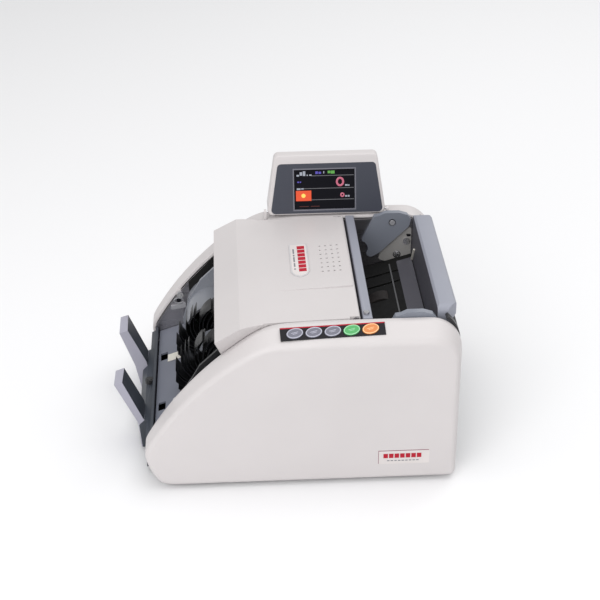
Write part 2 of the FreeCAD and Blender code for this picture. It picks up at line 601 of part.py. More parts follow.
REAR_WALL = 2.5
REAR_PANEL_TOP = 120.0   # where the flat of the rear cover turns into its curved top
HOOD_OUTER = [(REAR_COVER_Y + REAR_WALL, REAR_PANEL_TOP), (147.9, 141.5), (139.0, 153.5)]
HOOD_INNER = [(REAR_COVER_Y, REAR_PANEL_TOP), (145.6, 140.2), (137.2, 151.8)]
HOOD_MIDDLE_TOP = 141.5  # the hood stops here behind the hopper's back box
ROCKER = [(139, 26.5), (147.8, 24.0), (149.0, 24.2), (147.6, 32), (149.0, 39.8), (147.8, 40.0), (139, 37.5)]
ROCKER_AXIS = (144.5, 32.0)
JACK = (20.0, 32.0)      # (X, Z)


def rear_hood():
    """The curved top of the rear cover, which rises higher beside the hopper's back box."""
    outer = [Vector(-COVER_SIDE_X, y, z) for y, z in HOOD_OUTER]
    inner = [Vector(-COVER_SIDE_X, y, z) for y, z in HOOD_INNER]
    edges = [Part.Arc(*outer).toShape(), Part.makeLine(outer[2], inner[2]),
             Part.Arc(*inner[::-1]).toShape(), Part.makeLine(inner[0], outer[0])]
    hood = Part.Face(Part.Wire(edges)).extrude(Vector(2 * COVER_SIDE_X, 0, 0))
    box_room = BOX_END_X + GAP
    return hood.cut(box(-box_room, box_room, 100, 160, HOOD_MIDDLE_TOP, 170))


def add_rear():
    y0, y1 = REAR_COVER_Y, REAR_COVER_Y + REAR_WALL
    panel = join(box(-COVER_SIDE_X, COVER_SIDE_X, y0, y1, 7.5, REAR_PANEL_TOP), rear_hood())
    vents = [box(x - 1.5, x + 1.5, y0 - 1, y1 + 1, 62, 92) for x in range(-60, 61, 8)]
    inlet_hole = box(-76, -48, y0 - 1, y1 + 1, 22, 42)
    switch_hole = box(-40, -26, y0 - 1, y1 + 1, 21, 43)
    jack_hole = rod_y(*JACK, 4.2, y0 - 1, y1 + 1)
    add("rear_cover", panel.cut(group(vents + [inlet_hole, switch_hole, jack_hole])))

    body = join(box(-75.8, -48.2, 131, y1, 22.2, 41.8), box(-80, -44, y1, REAR_Y, 19, 45))
    well = box(-74, -50, 134, REAR_Y + 1, 24, 40)
    pins = [box(x - 1, x + 1, 132, 146.5, 28, 32) for x in (-69, -55)]
    pins += [box(-63, -61, 132, 146.5, 33, 37)]
    add("power_inlet", join(body.cut(well), *pins))
    housing = join(box(-39.8, -26.2, 133, y1, 21.2, 42.8), box(-41.5, -24.5, y1, 150.9, 19.5, 44.5))
    housing = housing.cut(box(-38.4, -27.6, 136, 153, 23.4, 40.6))
    housing = housing.cut(rod_x(*ROCKER_AXIS, 1.5 + RUNNING, -39.2, -26.8))
    add("switch_housing", housing)
    rocker = prism_x(ROCKER, -38.0, -28.0)
    add("power_rocker", join(rocker, rod_x(*ROCKER_AXIS, 1.5, -39.1, -26.9)))
    jack = join(rod_y(*JACK, 4.0, 133, y1), rod_y(*JACK, 6.0, y1, 151.0))
    add("display_jack", jack.cut(rod_y(*JACK, 1.8, 137, 152)))


# ---- top cover -----------------------------------------------------------------------------
COVER_TOP = [(COVER_FRONT_Y, 138.5), (-38.0, 150.7), (-31.5, 151.5), (2.25, 152.8),
             (COVER_REAR_Y, 155.0)]
COVER_HOLLOW = [(-56.6, 136.6), (-37.0, 148.2), (-31.2, 149.0), (2.25, 150.3), (62.0, 152.4), (62.0, 90),
                (-51.4, 90), (-51.4, 122.4)]
WING_X = 105.0
WING = [Vector(WING_X, COVER_FRONT_Y, 138.5), Vector(98.0, -54.25, 122.5), Vector(98.0, -17.75, 150.0)]
PANEL_X0 = -55.0         # the raised middle of the cover
PANEL_X1 = 43.0
PANEL_RISE = 1.3
PANEL_START = (-38.0, 150.7)
SPEAKER = (-10.7, 45.8)  # middle of the grille holes
GRILLE = [(i - 3, j - 1.5) for i in range(7) for j in range(4)]
GRILLE_PITCH = (8.1, 5.3)
BADGE = [(-41, 9.5), (12, 9.5), (18.5, 12.6), (21.5, 18.0), (18.5, 23.4), (12, 26.5), (-41, 26.5)]


def wing_cutter():
    """Everything outside the right wing's sloping facet."""
    normal = (WING[1] - WING[0]).cross(WING[2] - WING[0]).normalize()
    across = Vector(0, 0, 1).cross(normal).normalize()
    up = normal.cross(across)
    reach = 120
    square = ((-reach, -reach), (reach, -reach), (reach, reach), (-reach, reach))
    corners = [WING[0] + across * a + up * b for a, b in square]
    slab = Part.Face(Part.makePolygon(corners + corners[:1])).extrude(normal * 60)
    return slab.common(box(COVER_SKIRT_X, 300, -200, -12.3, 0, 300))


def add_top_cover():
    rear_foot = 146.0
    skirt_low = (-54.25, 122.5)
    outer = prism_x(COVER_TOP + [(COVER_REAR_Y, rear_foot), (-22.0, rear_foot - 4), skirt_low],
                    -WING_X - 1, WING_X + 1)
    outer = outer.makeFillet(2.2, [e for e in outer.Edges if e.BoundBox.YMin > COVER_REAR_Y - 0.01
                                   and e.BoundBox.ZMin > COVER_TOP[-1][1] - 0.01])
    hinge_y, hinge_z = COVER_HINGE
    frame_room = outline_prism(2.4, COVER_SKIRT_X, COVER_SIDE_X + 1)
    rim_room = outline_prism(-0.5, COVER_SIDE_X, 140)
    past_side = box(COVER_SIDE_X, 140, -17.75, 80, 100, 170)
    notch = box(COVER_SKIRT_X, 140, hinge_y - 5.5, 80, 100, 170)
    for cutter in (frame_room, rim_room, past_side, notch, wing_cutter()):
        outer = outer.cut(cutter).cut(mirror_x(cutter))
    cover = outer.cut(prism_x(COVER_HOLLOW, -COVER_SKIRT_X + 2.2, COVER_SKIRT_X - 2.2))
    y0, z0 = PANEL_START
    panel = prism_x([(y0, z0), (COVER_REAR_Y - 2.2, COVER_TOP[-1][1] + PANEL_RISE),
                     (COVER_REAR_Y - 2.2, 154.0), (y0, z0 - 1.0)], PANEL_X0, PANEL_X1)
    rib = box(86.0, COVER_SKIRT_X, hinge_y - 3.2, COVER_REAR_Y - 0.5, 147.0, 153.5)
    cover = join(cover, panel, rib, mirror_x(rib))
    bore = rod_x(hinge_y, hinge_z, 1.5 + RUNNING, 84.0, 100.0)
    x, y = SPEAKER
    holes = [rod_z(x + GRILLE_PITCH[0] * i, y + GRILLE_PITCH[1] * j, 1.0, 145, 165) for i, j in GRILLE]
    add("top_cover", cover.cut(group([bore, mirror_x(bore)] + holes)))
    pegs = [rod_z(x - 12, y_peg, 1.2, 149, z_peg) for y_peg, z_peg in ((y - 8, 151.5), (y + 8, 152.1))]
    add("speaker", join(rod_z(x, y, 9, 137.5, 140.5), Part.makeCone(10, 14, 6.5, Vector(x, y, 140)),
                        rod_z(x, y, 15.2, 146.5, 149.5), *pegs))
    add("cover_badge", prism_z(BADGE, 150.0, 160.0).common(badge_layer()))


def badge_layer():
    """A thin layer lying on the cover's raised middle."""
    y0, z0 = PANEL_START
    y1, z1 = COVER_REAR_Y - 2.2, COVER_TOP[-1][1] + PANEL_RISE
    return prism_x([(y0, z0), (y1, z1), (y1, z1 + 0.9), (y0, z0 + 0.9)], -60, 60)


# ---- display -------------------------------------------------------------------------------
DISPLAY_MID_Y = 48.85
DISPLAY_LOW = (-98.3, DISPLAY_FOOT, 57.1)        # X, Z and half length of the foot of the face
DISPLAY_HIGH = (-111.8, DISPLAY_TOP, 48.9)
DISPLAY_BACK_X = -122.4
DISPLAY_CORNER_R = 5.0   # the two top corners of the case
LUG_GAP = 0.4
LUG_WIDE = 2.2
LUG_SPANS = [(DISPLAY_MID_Y - 57.1 - LUG_GAP - LUG_WIDE, DISPLAY_MID_Y - 57.1 - LUG_GAP),
             (DISPLAY_MID_Y + 57.1 + LUG_GAP, DISPLAY_MID_Y + 57.1 + LUG_GAP + LUG_WIDE)]
LUG_R = 2.2
DISPLAY_PIN_R = 1.0
# In the face's own coordinates: Y from the middle of the display, and the distance up the face.
BEZEL_CORNERS = [(-53.3, 1.8), (54.3, 1.8), (47.2, 50.0), (-45.9, 50.0)]
WINDOW = (-31.6, 28.4, 4.4, 45.2)


def display_lug(y0, y1):
    x, z = DISPLAY_HINGE
    foot = box(x - LUG_R, x + LUG_R, y0, y1, 149.5, z)
    return join(foot, rod_y(x, z, LUG_R, y0, y1)).cut(rod_y(x, z, DISPLAY_PIN_R, y0 - 1, y1 + 1))


def face_frame(shape):
    """Moves a shape drawn with X out of the display's face, Y along it and Z up it."""
    lean = math.degrees(math.atan2(DISPLAY_LOW[0] - DISPLAY_HIGH[0], DISPLAY_HIGH[1] - DISPLAY_LOW[1]))
    moved = shape.copy()
    moved.rotate(Vector(0, 0, 0), Vector(0, 1, 0), -lean)
    moved.translate(Vector(DISPLAY_LOW[0], DISPLAY_MID_Y, DISPLAY_LOW[1]))
    return moved


def rounded_plate(points, radius, x0, x1):
    plate = prism_x(points, x0, x1)
    upright = [e for e in plate.Edges if abs(e.tangentAt(e.FirstParameter).x) > 0.9]
    return plate.makeFillet(radius, upright)


def display_block(inset, top_inset, back_inset):
    """The leaning case: its trapezoid seen from the front, limited to its slanting side view."""
    x0, z0, half0 = DISPLAY_LOW
    x1, z1, half1 = DISPLAY_HIGH
    y = DISPLAY_MID_Y
    front = rounded_plate([(y - half0 + inset, z0 + inset), (y + half0 - inset, z0 + inset),
                           (y + half1 - inset, z1 - top_inset), (y - half1 + inset, z1 - top_inset)],
                          DISPLAY_CORNER_R - min(inset, 3.0), DISPLAY_BACK_X - 1, x0 + 1)
    side = prism_y([(x0 - inset, z0 - 1), (x1 - inset, z1 + 1), (DISPLAY_BACK_X + back_inset, z1 + 1),
                    (DISPLAY_BACK_X + back_inset, z0 - 1)], y - half0 - 1, y + half0 + 1)
    return front.common(side)


def add_display():
    case = display_block(0.0, 0.0, 0.0)
    sized = [(e, e.BoundBox) for e in case.Edges]
    rims = [e for e, b in sized if b.XLength < 14.0 and b.YLength + b.ZLength > 20]
    case = case.makeFillet(1.6, rims)
    hollow = display_block(5.5, 3.0, 2.4).cut(box(-130, -90, -50, 150, 150, DISPLAY_FOOT + 9.0))
    pocket = face_frame(rounded_plate(BEZEL_CORNERS, 4.0, -1.4, 5.0))
    y0, y1, z0, z1 = WINDOW
    screen_room = face_frame(box(-6.5, 0, y0 - 2, y1 + 2, z0 - 2, z1 + 2))
    x, z = DISPLAY_HINGE
    (front0, front1), (rear0, rear1) = LUG_SPANS
    pin_depth = 2.9
    bores = [rod_y(x, z, DISPLAY_PIN_R + RUNNING, front1, front1 + pin_depth + 0.5),
             rod_y(x, z, DISPLAY_PIN_R + RUNNING, rear0 - pin_depth - 0.5, rear0)]
    add("display_housing", case.cut(hollow).cut(pocket).cut(screen_room).cut(group(bores)))
    opening = box(-5, 5, y0, y1, z0, z1)
    add("display_bezel", face_frame(rounded_plate(BEZEL_CORNERS, 4.0, -1.4, 0.3).cut(opening)))
    add("display_screen", face_frame(box(-3.6, -1.4, y0 - 1.5, y1 + 1.5, z0 - 1.5, z1 + 1.5)))
    pins = [rod_y(x, z, DISPLAY_PIN_R, front0, front1 + pin_depth),
            rod_y(x, z, DISPLAY_PIN_R, rear0 - pin_depth, rear1)]
    y, z = COVER_HINGE
    cover_pin = rod_x(y, z, 1.5, 86.5, FRAME_X + FRAME_WALL)
    add("hinge_pins", group(pins + [cover_pin, mirror_x(cover_pin)]))


# ---- control strip -------------------------------------------------------------------------
def add_keys():
    half_long, half_wide = STRIP_LONG / 2, STRIP_WIDE / 2
    strip = box(-half_wide, half_wide, -half_long, half_long, 0.0, STRIP_WALL)
    ends = (-half_long + 2.2, half_long - 2.2)
    strip = join(strip, *[Part.makeCylinder(1.2, 8.0, Vector(0, y, -8.0)) for y in ends])
    strip = strip.cut(group([oval(key_y(i), 0.2, -1, 3) for i in range(5)]))
    add("control_strip", on_shoulder(strip))
    board = box(-5, 5, ends[0], ends[1], -9.6, -8.0)
    domes = [Part.makeCylinder(2.0, 1.2, Vector(0, key_y(i), -8.0)) for i in range(5)]
    add("key_board", on_shoulder(join(board, *domes)))
    key_top = STRIP_WALL + KEY_RISE
    for i, name in enumerate(KEY_NAMES):
        y = key_y(i)
        cap = oval(y, 0.0, -0.6, key_top)
        rim = [e for e in cap.Edges if abs(e.BoundBox.ZMin - key_top) < 0.01
               and e.BoundBox.ZLength < 0.01]
        cap = cap.makeFillet(0.45, rim)
        flange = oval(y, 0.5, -1.8, -0.5)
        stem = Part.makeCylinder(1.6, 4.0, Vector(0, y, -5.6))
        add(name, on_shoulder(join(cap, flange, stem)))


add_side_shells()
add_side_frames()
add_base()
add_stacker()
add_stack_guide()
add_rotors()
add_motors()
add_electrics()
add_note_path()
add_hopper_shell()
add_rear()
add_top_cover()
add_display()
add_keys()
add_screws()

os.makedirs("parts", exist_ok=True)
for name, shape in PARTS.items():
    shape.exportStep(os.path.join("parts", name + ".step"))
print(len(PARTS), "nodes")
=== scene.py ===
"""The looks of a table-top banknote counter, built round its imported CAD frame."""
import bmesh
import bpy
import json
import math
from mathutils import Matrix, Vector


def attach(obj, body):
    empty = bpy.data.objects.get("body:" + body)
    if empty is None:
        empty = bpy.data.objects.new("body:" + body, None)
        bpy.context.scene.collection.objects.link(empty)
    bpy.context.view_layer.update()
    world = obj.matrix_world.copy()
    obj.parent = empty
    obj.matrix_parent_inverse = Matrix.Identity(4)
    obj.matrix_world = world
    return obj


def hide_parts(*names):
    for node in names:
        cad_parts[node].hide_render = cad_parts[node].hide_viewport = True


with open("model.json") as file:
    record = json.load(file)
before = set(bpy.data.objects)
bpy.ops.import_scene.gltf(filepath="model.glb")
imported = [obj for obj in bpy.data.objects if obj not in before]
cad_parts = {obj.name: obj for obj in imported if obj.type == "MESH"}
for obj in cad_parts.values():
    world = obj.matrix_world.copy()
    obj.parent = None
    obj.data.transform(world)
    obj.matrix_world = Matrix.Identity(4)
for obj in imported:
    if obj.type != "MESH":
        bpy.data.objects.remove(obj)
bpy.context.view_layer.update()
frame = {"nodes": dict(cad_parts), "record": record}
NODES = frame["nodes"]
MM = 0.001

# ---- places shared with the CAD model, in millimetres ----------------------------------
HALF_WIDTH = 122.5
RIM_X = 98.0
SHOULDER_X = 104.0
SHOULDER_DROP = 10.0
SHELL_WALL = 2.5
BODY_TOP = 154.0
REAR_Y = 151.25
SHELL_FOOT = 4.0
R_REAR = 28.0
R_HEEL = 8.0
DIAG = math.sqrt(0.5)
OUTLINE = [
    (-109.25, SHELL_FOOT, -0.8, -1.0, 0.0),
    (-118.6, 18.0, -0.95, -0.35, 0.0),
    (-124.25, 39.0, -1.07, 0.14, 0.0),
    (-78.5, 101.3, -0.75, 0.66, 0.18),
    (-31.0, 141.6, -0.58, 0.81, 0.6),
    (-15.9, 149.3, -0.33, 0.94, 0.8),
    (2.25, 152.7, -0.09, 1.0, 1.0),
    (24.0, BODY_TOP, 0.0, 1.0, 1.0),
    (REAR_Y - R_REAR, BODY_TOP, 0.0, 1.0, 1.0),
    (REAR_Y - R_REAR * (1 - DIAG), BODY_TOP - R_REAR * (1 - DIAG), DIAG, DIAG, 0.85),
    (REAR_Y, BODY_TOP - R_REAR, 1.0, 0.0, 0.4),
    (REAR_Y, SHELL_FOOT + R_HEEL, 1.0, 0.0, 0.4),
    (REAR_Y - R_HEEL * (1 - DIAG), SHELL_FOOT + R_HEEL * (1 - DIAG), DIAG, -DIAG, 0.2),
    (REAR_Y - R_HEEL, SHELL_FOOT, 0.0, -1.0, 0.0),
]
SEGMENTS = [("arc", 0, 1, 2, 18), ("arc", 2, 3, 4, 60), ("arc", 4, 5, 6, 22), ("line", 6, 7, 9),
            ("line", 7, 8, 26), ("arc", 8, 9, 10, 26), ("line", 10, 11, 34), ("arc", 11, 12, 13, 12),
            ("line", 13, 0, 60)]


# ---- materials -------------------------------------------------------------------------
class Shader:
    """A Principled material with small helpers for procedural detail in object space."""

    def __init__(self, name, colour, roughness, metallic=0.0, coat=0.0, specular=0.5):
        self.material = bpy.data.materials.new(name)
        self.material.use_nodes = True
        self.tree = self.material.node_tree
        self.bsdf = self.tree.nodes["Principled BSDF"]
        self.bsdf.inputs["Base Color"].default_value = (*colour, 1.0)
        self.bsdf.inputs["Roughness"].default_value = roughness
        self.bsdf.inputs["Metallic"].default_value = metallic
        self.bsdf.inputs["Coat Weight"].default_value = coat
        self.bsdf.inputs["Specular IOR Level"].default_value = specular
        self.colour = colour
        self.roughness = roughness
        self.coords = self.tree.nodes.new("ShaderNodeTexCoord")
        self.bump_out = None

    def link(self, a, b):
        self.tree.links.new(a, b)

    def mapped(self, scale):
        node = self.tree.nodes.new("ShaderNodeMapping")
        node.inputs["Scale"].default_value = scale
        self.link(self.coords.outputs["Object"], node.inputs["Vector"])
        return node.outputs["Vector"]

    def noise(self, scale, detail=3.0, stretch=(1, 1, 1), rough=0.55):
        node = self.tree.nodes.new("ShaderNodeTexNoise")
        node.inputs["Scale"].default_value = scale
        node.inputs["Detail"].default_value = detail
        node.inputs["Roughness"].default_value = rough
        self.link(self.mapped(stretch), node.inputs["Vector"])
        return node.outputs["Fac"]

    def ramp(self, value, stops):
        node = self.tree.nodes.new("ShaderNodeValToRGB")
        ramp = node.color_ramp
        while len(ramp.elements) < len(stops):
            ramp.elements.new(0.5)
        for element, (place, colour) in zip(ramp.elements, stops):
            element.position = place
            element.color = (*colour, 1.0)
        self.link(value, node.inputs["Fac"])
        return node.outputs["Color"]

    def mottle(self, scale, strength, tint=(1.0, 1.0, 1.0)):
        """Soft colour variation round the base colour."""
        dark = tuple(c * (1 - strength) * t for c, t in zip(self.colour, tint))
        light = tuple(min(1.0, c * (1 + strength)) for c in self.colour)
        out = self.ramp(self.noise(scale), [(0.3, dark), (0.7, light)])
        self.link(out, self.bsdf.inputs["Base Color"])
        return self

    def uneven_gloss(self, scale, spread, stretch=(1, 1, 1)):
        low, high = self.roughness - spread, self.roughness + spread
        out = self.ramp(self.noise(scale, 4.0, stretch), [(0.3, (low,) * 3), (0.7, (high,) * 3)])
        self.link(out, self.bsdf.inputs["Roughness"])
        return self

    def grain(self, scale, depth, stretch=(1, 1, 1), detail=2.0):
        """Fine surface relief: depth is the bump's distance in metres."""
        node = self.tree.nodes.new("ShaderNodeBump")
        node.inputs["Strength"].default_value = 1.0
        node.inputs["Distance"].default_value = depth
        self.link(self.noise(scale, detail, stretch), node.inputs["Height"])
        if self.bump_out is not None:
            self.link(self.bump_out, node.inputs["Normal"])
        self.bump_out = node.outputs["Normal"]
        self.link(self.bump_out, self.bsdf.inputs["Normal"])
        return self

    def glow(self, colour, strength):
        self.bsdf.inputs["Emission Color"].default_value = (*colour, 1.0)
        self.bsdf.inputs["Emission Strength"].default_value = strength
        return self


def plastic(name, colour, roughness=0.45, grain=900.0, depth=0.00003, coat=0.0):
    return Shader(name, colour, roughness, coat=coat).mottle(9.0, 0.025).uneven_gloss(
        40.0, 0.05).grain(grain, depth).material


def metal(name, colour, roughness=0.32, stretch=(1, 40, 1), depth=0.00001):
    shader = Shader(name, colour, roughness, metallic=1.0).mottle(14.0, 0.10)
    return shader.uneven_gloss(60.0, 0.09, stretch).grain(90.0, depth, stretch, 4.0).material


def rubber(name, colour, roughness=0.6):
    return Shader(name, colour, roughness, specular=0.35).mottle(60.0, 0.25).uneven_gloss(
        120.0, 0.10).grain(1500.0, 0.00004).material


def film(name, colour, roughness=0.25):
    shader = Shader(name, colour, roughness, specular=0.1).mottle(25.0, 0.05)
    return shader.uneven_gloss(70.0, 0.04).grain(2200.0, 0.000006).material


def lit(name, colour, strength):
    """A lit patch of the screen: its glow varies with a fine pixel grain."""
    shader = Shader(name, tuple(c * 0.2 for c in colour), 0.3)
    shader.glow(colour, strength)
    return shader.mottle(400.0, 0.2).material


MATERIALS = {
    "white_shell": plastic("white_abs", (0.585, 0.555, 0.555), 0.42, 1100.0, 0.00002),
    "guide_grey": plastic("guide_abs", (0.22, 0.23, 0.26), 0.30),
    "hopper_grey": plastic("hopper_abs", (0.275, 0.285, 0.335), 0.42),
    "fork_grey": plastic("fork_abs_dark", (0.035, 0.042, 0.055), 0.42),
    "fork_light": plastic("fork_abs_light", (0.36, 0.355, 0.42), 0.36),
    "floor_grey": plastic("floor_abs", (0.155, 0.165, 0.205), 0.42),
    "dark_metal": plastic("coated_metal", (0.045, 0.045, 0.052), 0.38),
    "frame_steel": metal("zinc_plate", (0.36, 0.35, 0.37), 0.34, (1, 1, 30)),
    "shaft_steel": metal("ground_steel", (0.58, 0.58, 0.60), 0.24, (40, 1, 1)),
    "screw_steel": metal("nickel_plate", (0.62, 0.62, 0.64), 0.22, (1, 1, 1)),
    "black_rubber": rubber("black_rubber", (0.010, 0.010, 0.011), 0.42),
    "belt_rubber": rubber("belt_rubber", (0.015, 0.015, 0.016)),
    "roller_rubber": rubber("roller_rubber", (0.022, 0.018, 0.017)),
    "cream_plastic": plastic("cream_pad", (0.70, 0.67, 0.60), 0.35),
    "bezel_grey": plastic("bezel_abs", (0.036, 0.040, 0.058), 0.36, 1300.0, 0.000012),
    "screen_black": film("screen_black", (0.006, 0.006, 0.009), 0.12),
    "strip_black": film("strip_black", (0.018, 0.017, 0.020), 0.32),
    "key_grey": plastic("key_grey", (0.14, 0.14, 0.18), 0.32, 1500.0, 0.00001),
    "key_green": plastic("key_green", (0.06, 0.36, 0.10), 0.32, 1500.0, 0.00001),
    "key_orange": plastic("key_orange", (0.62, 0.20, 0.045), 0.32, 1500.0, 0.00001),
    "black_plastic": plastic("black_nylon", (0.018, 0.018, 0.020), 0.45),
    "circuit_green": film("circuit_green", (0.015, 0.12, 0.045), 0.35),
    "badge_silver": plastic("badge_silver", (0.55, 0.54, 0.55), 0.30, 1500.0, 0.00001),
    "badge_white": film("badge_white", (0.66, 0.62, 0.61), 0.30),
    "print_red": film("print_red", (0.42, 0.018, 0.035), 0.40),
    "print_grey": film("print_grey", (0.22, 0.22, 0.24), 0.40),
    "rim_grey": plastic("rim_grey", (0.42, 0.42, 0.50), 0.28, 1500.0, 0.00001),
    "rim_green": plastic("rim_green", (0.30, 0.62, 0.36), 0.28, 1500.0, 0.00001),
    "rim_orange": plastic("rim_orange", (0.86, 0.52, 0.26), 0.28, 1500.0, 0.00001),
    "print_plum": film("print_plum", (0.26, 0.12, 0.15), 0.40),
    "cheek_grey": plastic("cheek_abs", (0.20, 0.215, 0.255), 0.40),
    "blade_rubber": rubber("blade_rubber", (0.008, 0.008, 0.009), 0.38),
    "pit_black": rubber("pit_black", (0.004, 0.004, 0.004), 0.75),
    "zinc": plastic("zinc_bright", (0.33, 0.32, 0.31), 0.34),
    "plate_grey": plastic("plate_grey", (0.085, 0.083, 0.10), 0.5),
    "ridge_grey": plastic("ridge_grey", (0.12, 0.12, 0.125), 0.40),
    "sensor_grey": plastic("sensor_grey", (0.30, 0.30, 0.32), 0.30),
    "surround_grey": plastic("surround_grey", (0.15, 0.15, 0.18), 0.30, 1500.0, 0.00001),
    "lit_white": lit("lit_white", (0.40, 0.43, 0.50), 0.7),
    "lit_grey": lit("lit_grey", (0.16, 0.16, 0.175), 0.6),
    "lit_blue": lit("lit_blue", (0.09, 0.07, 0.42), 0.9),
    "lit_green": lit("lit_green", (0.10, 0.34, 0.06), 0.9),
    "lit_red": lit("lit_red", (0.72, 0.075, 0.02), 0.95),
    "lit_dim_red": lit("lit_dim_red", (0.10, 0.015, 0.01), 0.6),
    "lit_yellow": lit("lit_yellow", (0.92, 0.62, 0.12), 1.0),
    "lit_pink": lit("lit_pink", (0.50, 0.12, 0.19), 0.9),
}


# ---- mesh helpers ----------------------------------------------------------------------
def place(name, mesh, material, body, slot=None, replaces=()):
    piece = bpy.data.objects.new(name, mesh)
    bpy.context.scene.collection.objects.link(piece)
    mesh.materials.clear()
    mesh.materials.append(MATERIALS[material])
    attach(piece, body)
    if replaces:
        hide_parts(*replaces)
    return piece


def smooth(mesh, angle=35.0):
    mesh.polygons.foreach_set("use_smooth", [True] * len(mesh.polygons))
    mesh.set_sharp_from_angle(angle=math.radians(angle))


def bevel(piece, width, segments=3, angle=32.0):
    modifier = piece.modifiers.new("edge", "BEVEL")
    modifier.width = width * MM
    modifier.segments = segments
    modifier.limit_method = "ANGLE"
    modifier.angle_limit = math.radians(angle)
    modifier.harden_normals = True
    modifier.use_clamp_overlap = True
    return piece


def loft(rings):
    """A closed mesh through rings of points in millimetres, flat-capped at both ends."""
    count = len(rings[0])
    vertices = [tuple(c * MM for c in point) for ring in rings for point in ring]
    faces = [[i * count + j, i * count + (j + 1) % count, (i + 1) * count + (j + 1) % count,
              (i + 1) * count + j] for i in range(len(rings) - 1) for j in range(count)]
    faces.append(list(range(count))[::-1])
    faces.append(list(range((len(rings) - 1) * count, len(rings) * count)))
    mesh = bpy.data.meshes.new("loft")
    mesh.from_pydata(vertices, [], faces)
    outward(mesh)
    return mesh


def outward(mesh):
    built = bmesh.new()
    built.from_mesh(mesh)
    bmesh.ops.recalc_face_normals(built, faces=built.faces)
    built.to_mesh(mesh)
    built.free()


def polar(middle, radius, angle):
    """The 2-D point at a distance and an angle (in radians) from a middle."""
    return (middle[0] + radius * math.cos(angle), middle[1] + radius * math.sin(angle))


def regular(middle, radius, count):
    """The corners of a regular polygon."""
    return [polar(middle, radius, 2 * math.pi * i / count) for i in range(count)]


def oblong(x0, x1, y0, y1):
    return [(x0, y0), (x1, y0), (x1, y1), (x0, y1)]


def arc_points(p0, p1, p2, count):
    """Points along the circle through three 2-D points, from the first to just before the last."""
    (ax, ay), (bx, by), (cx, cy) = p0, p1, p2
    d = 2 * (ax * (by - cy) + bx * (cy - ay) + cx * (ay - by))
    a2, b2, c2 = ax * ax + ay * ay, bx * bx + by * by, cx * cx + cy * cy
    ux = (a2 * (by - cy) + b2 * (cy - ay) + c2 * (ay - by)) / d
    uy = (a2 * (cx - bx) + b2 * (ax - cx) + c2 * (bx - ax)) / d
    radius = math.hypot(ax - ux, ay - uy)
    start = math.atan2(ay - uy, ax - ux)
    turn = (math.atan2(cy - uy, cx - ux) - start) % (2 * math.pi)
    if (math.atan2(by - uy, bx - ux) - start) % (2 * math.pi) > turn:
        turn -= 2 * math.pi
    return [polar((ux, uy), radius, start + turn * i / count) for i in range(count)]


def side_ring(x, inset=0.0, drop=0.0, soften=6):
    """The machine's side outline at one X, inset all round and dropped where the shoulder is."""
    p = [(y - out_y * (inset + drop * share), z - out_z * (inset + drop * share))
         for y, z, out_y, out_z, share in OUTLINE]
    ring = []
    for kind, *ids, count in SEGMENTS:
        if kind == "arc":
            ring += arc_points(p[ids[0]], p[ids[1]], p[ids[2]], count)
        else:
            (ay, az), (by, bz) = p[ids[0]], p[ids[1]]
            ring += [(ay + (by - ay) * i / count, az + (bz - az) * i / count) for i in range(count)]
    for _ in range(soften):
        ring = [((a[0] + 2 * b[0] + c[0]) / 4, (a[1] + 2 * b[1] + c[1]) / 4)
                for a, b, c in zip(ring[-1:] + ring[:-1], ring, ring[1:] + ring[:1])]
    return [(x, y, z) for y, z in ring]


def fillet(before, corner, after, radius, steps=6):
    """Points that round one corner of a 2-D path."""
    a = Vector(before) - Vector(corner)
    b = Vector(after) - Vector(corner)
    half = a.angle(b) / 2
    if math.pi / 2 - half < 0.01:
        return [tuple(corner)] * (steps + 1)
    reach = radius / math.tan(half)
    start = Vector(corner) + a.normalized() * reach
    end = Vector(corner) + b.normalized() * reach
    centre = Vector(corner) + (a.normalized() + b.normalized()).normalized() * (radius / math.sin(half))
    points = []
    for i in range(steps + 1):
        chord = start.lerp(end, i / steps) - centre
        points.append(tuple(centre + chord.normalized() * radius))
    return points


# ---- drawing on the machine's own surfaces ---------------------------------------------
def surface(origin, across, up):
    """A frame in millimetres whose XY plane lies on a surface and whose Z points out of it."""
    x = Vector(across).normalized()
    y = Vector(up).normalized()
    z = x.cross(y)
    return Matrix((
        (x.x, y.x, z.x, origin[0]),
        (x.y, y.y, z.y, origin[1]),
        (x.z, y.z, z.z, origin[2]),
        (0, 0, 0, 1)))


LEAN = math.atan2(13.5, 56.4)
SLOPE = math.atan2(SHOULDER_DROP, HALF_WIDTH - SHOULDER_X)
PANEL_TILT = math.atan2(5.6, 100.3)
FACE = surface((-98.3, 48.85, 155.6), (0, 1, 0), (-math.sin(LEAN), 0, math.cos(LEAN)))
SHOULDER = surface((SHOULDER_X, 0, BODY_TOP), (0, 1, 0), (-math.cos(SLOPE), 0, math.sin(SLOPE)))
STRIP = SHOULDER @ Matrix.Translation((39.8, -8.1, 0)) @ Matrix.Rotation(math.radians(2.1), 4, "Z")
STRIP_HALF = 44.4
WINDOW_HALF = 5.8
KEY_TOP = 1.5
PANEL = surface((0, -38.0, 150.7), (1, 0, 0), (0, math.cos(PANEL_TILT), math.sin(PANEL_TILT)))
LEVEL = surface((0, 0, 0), (1, 0, 0), (0, 1, 0))
NEAR_SIDE = surface((HALF_WIDTH, 0, 0), (0, 1, 0), (0, 0, 1))
FAR_FRAME = surface((-95.0, 0, 0), (0, 1, 0), (0, 0, 1))


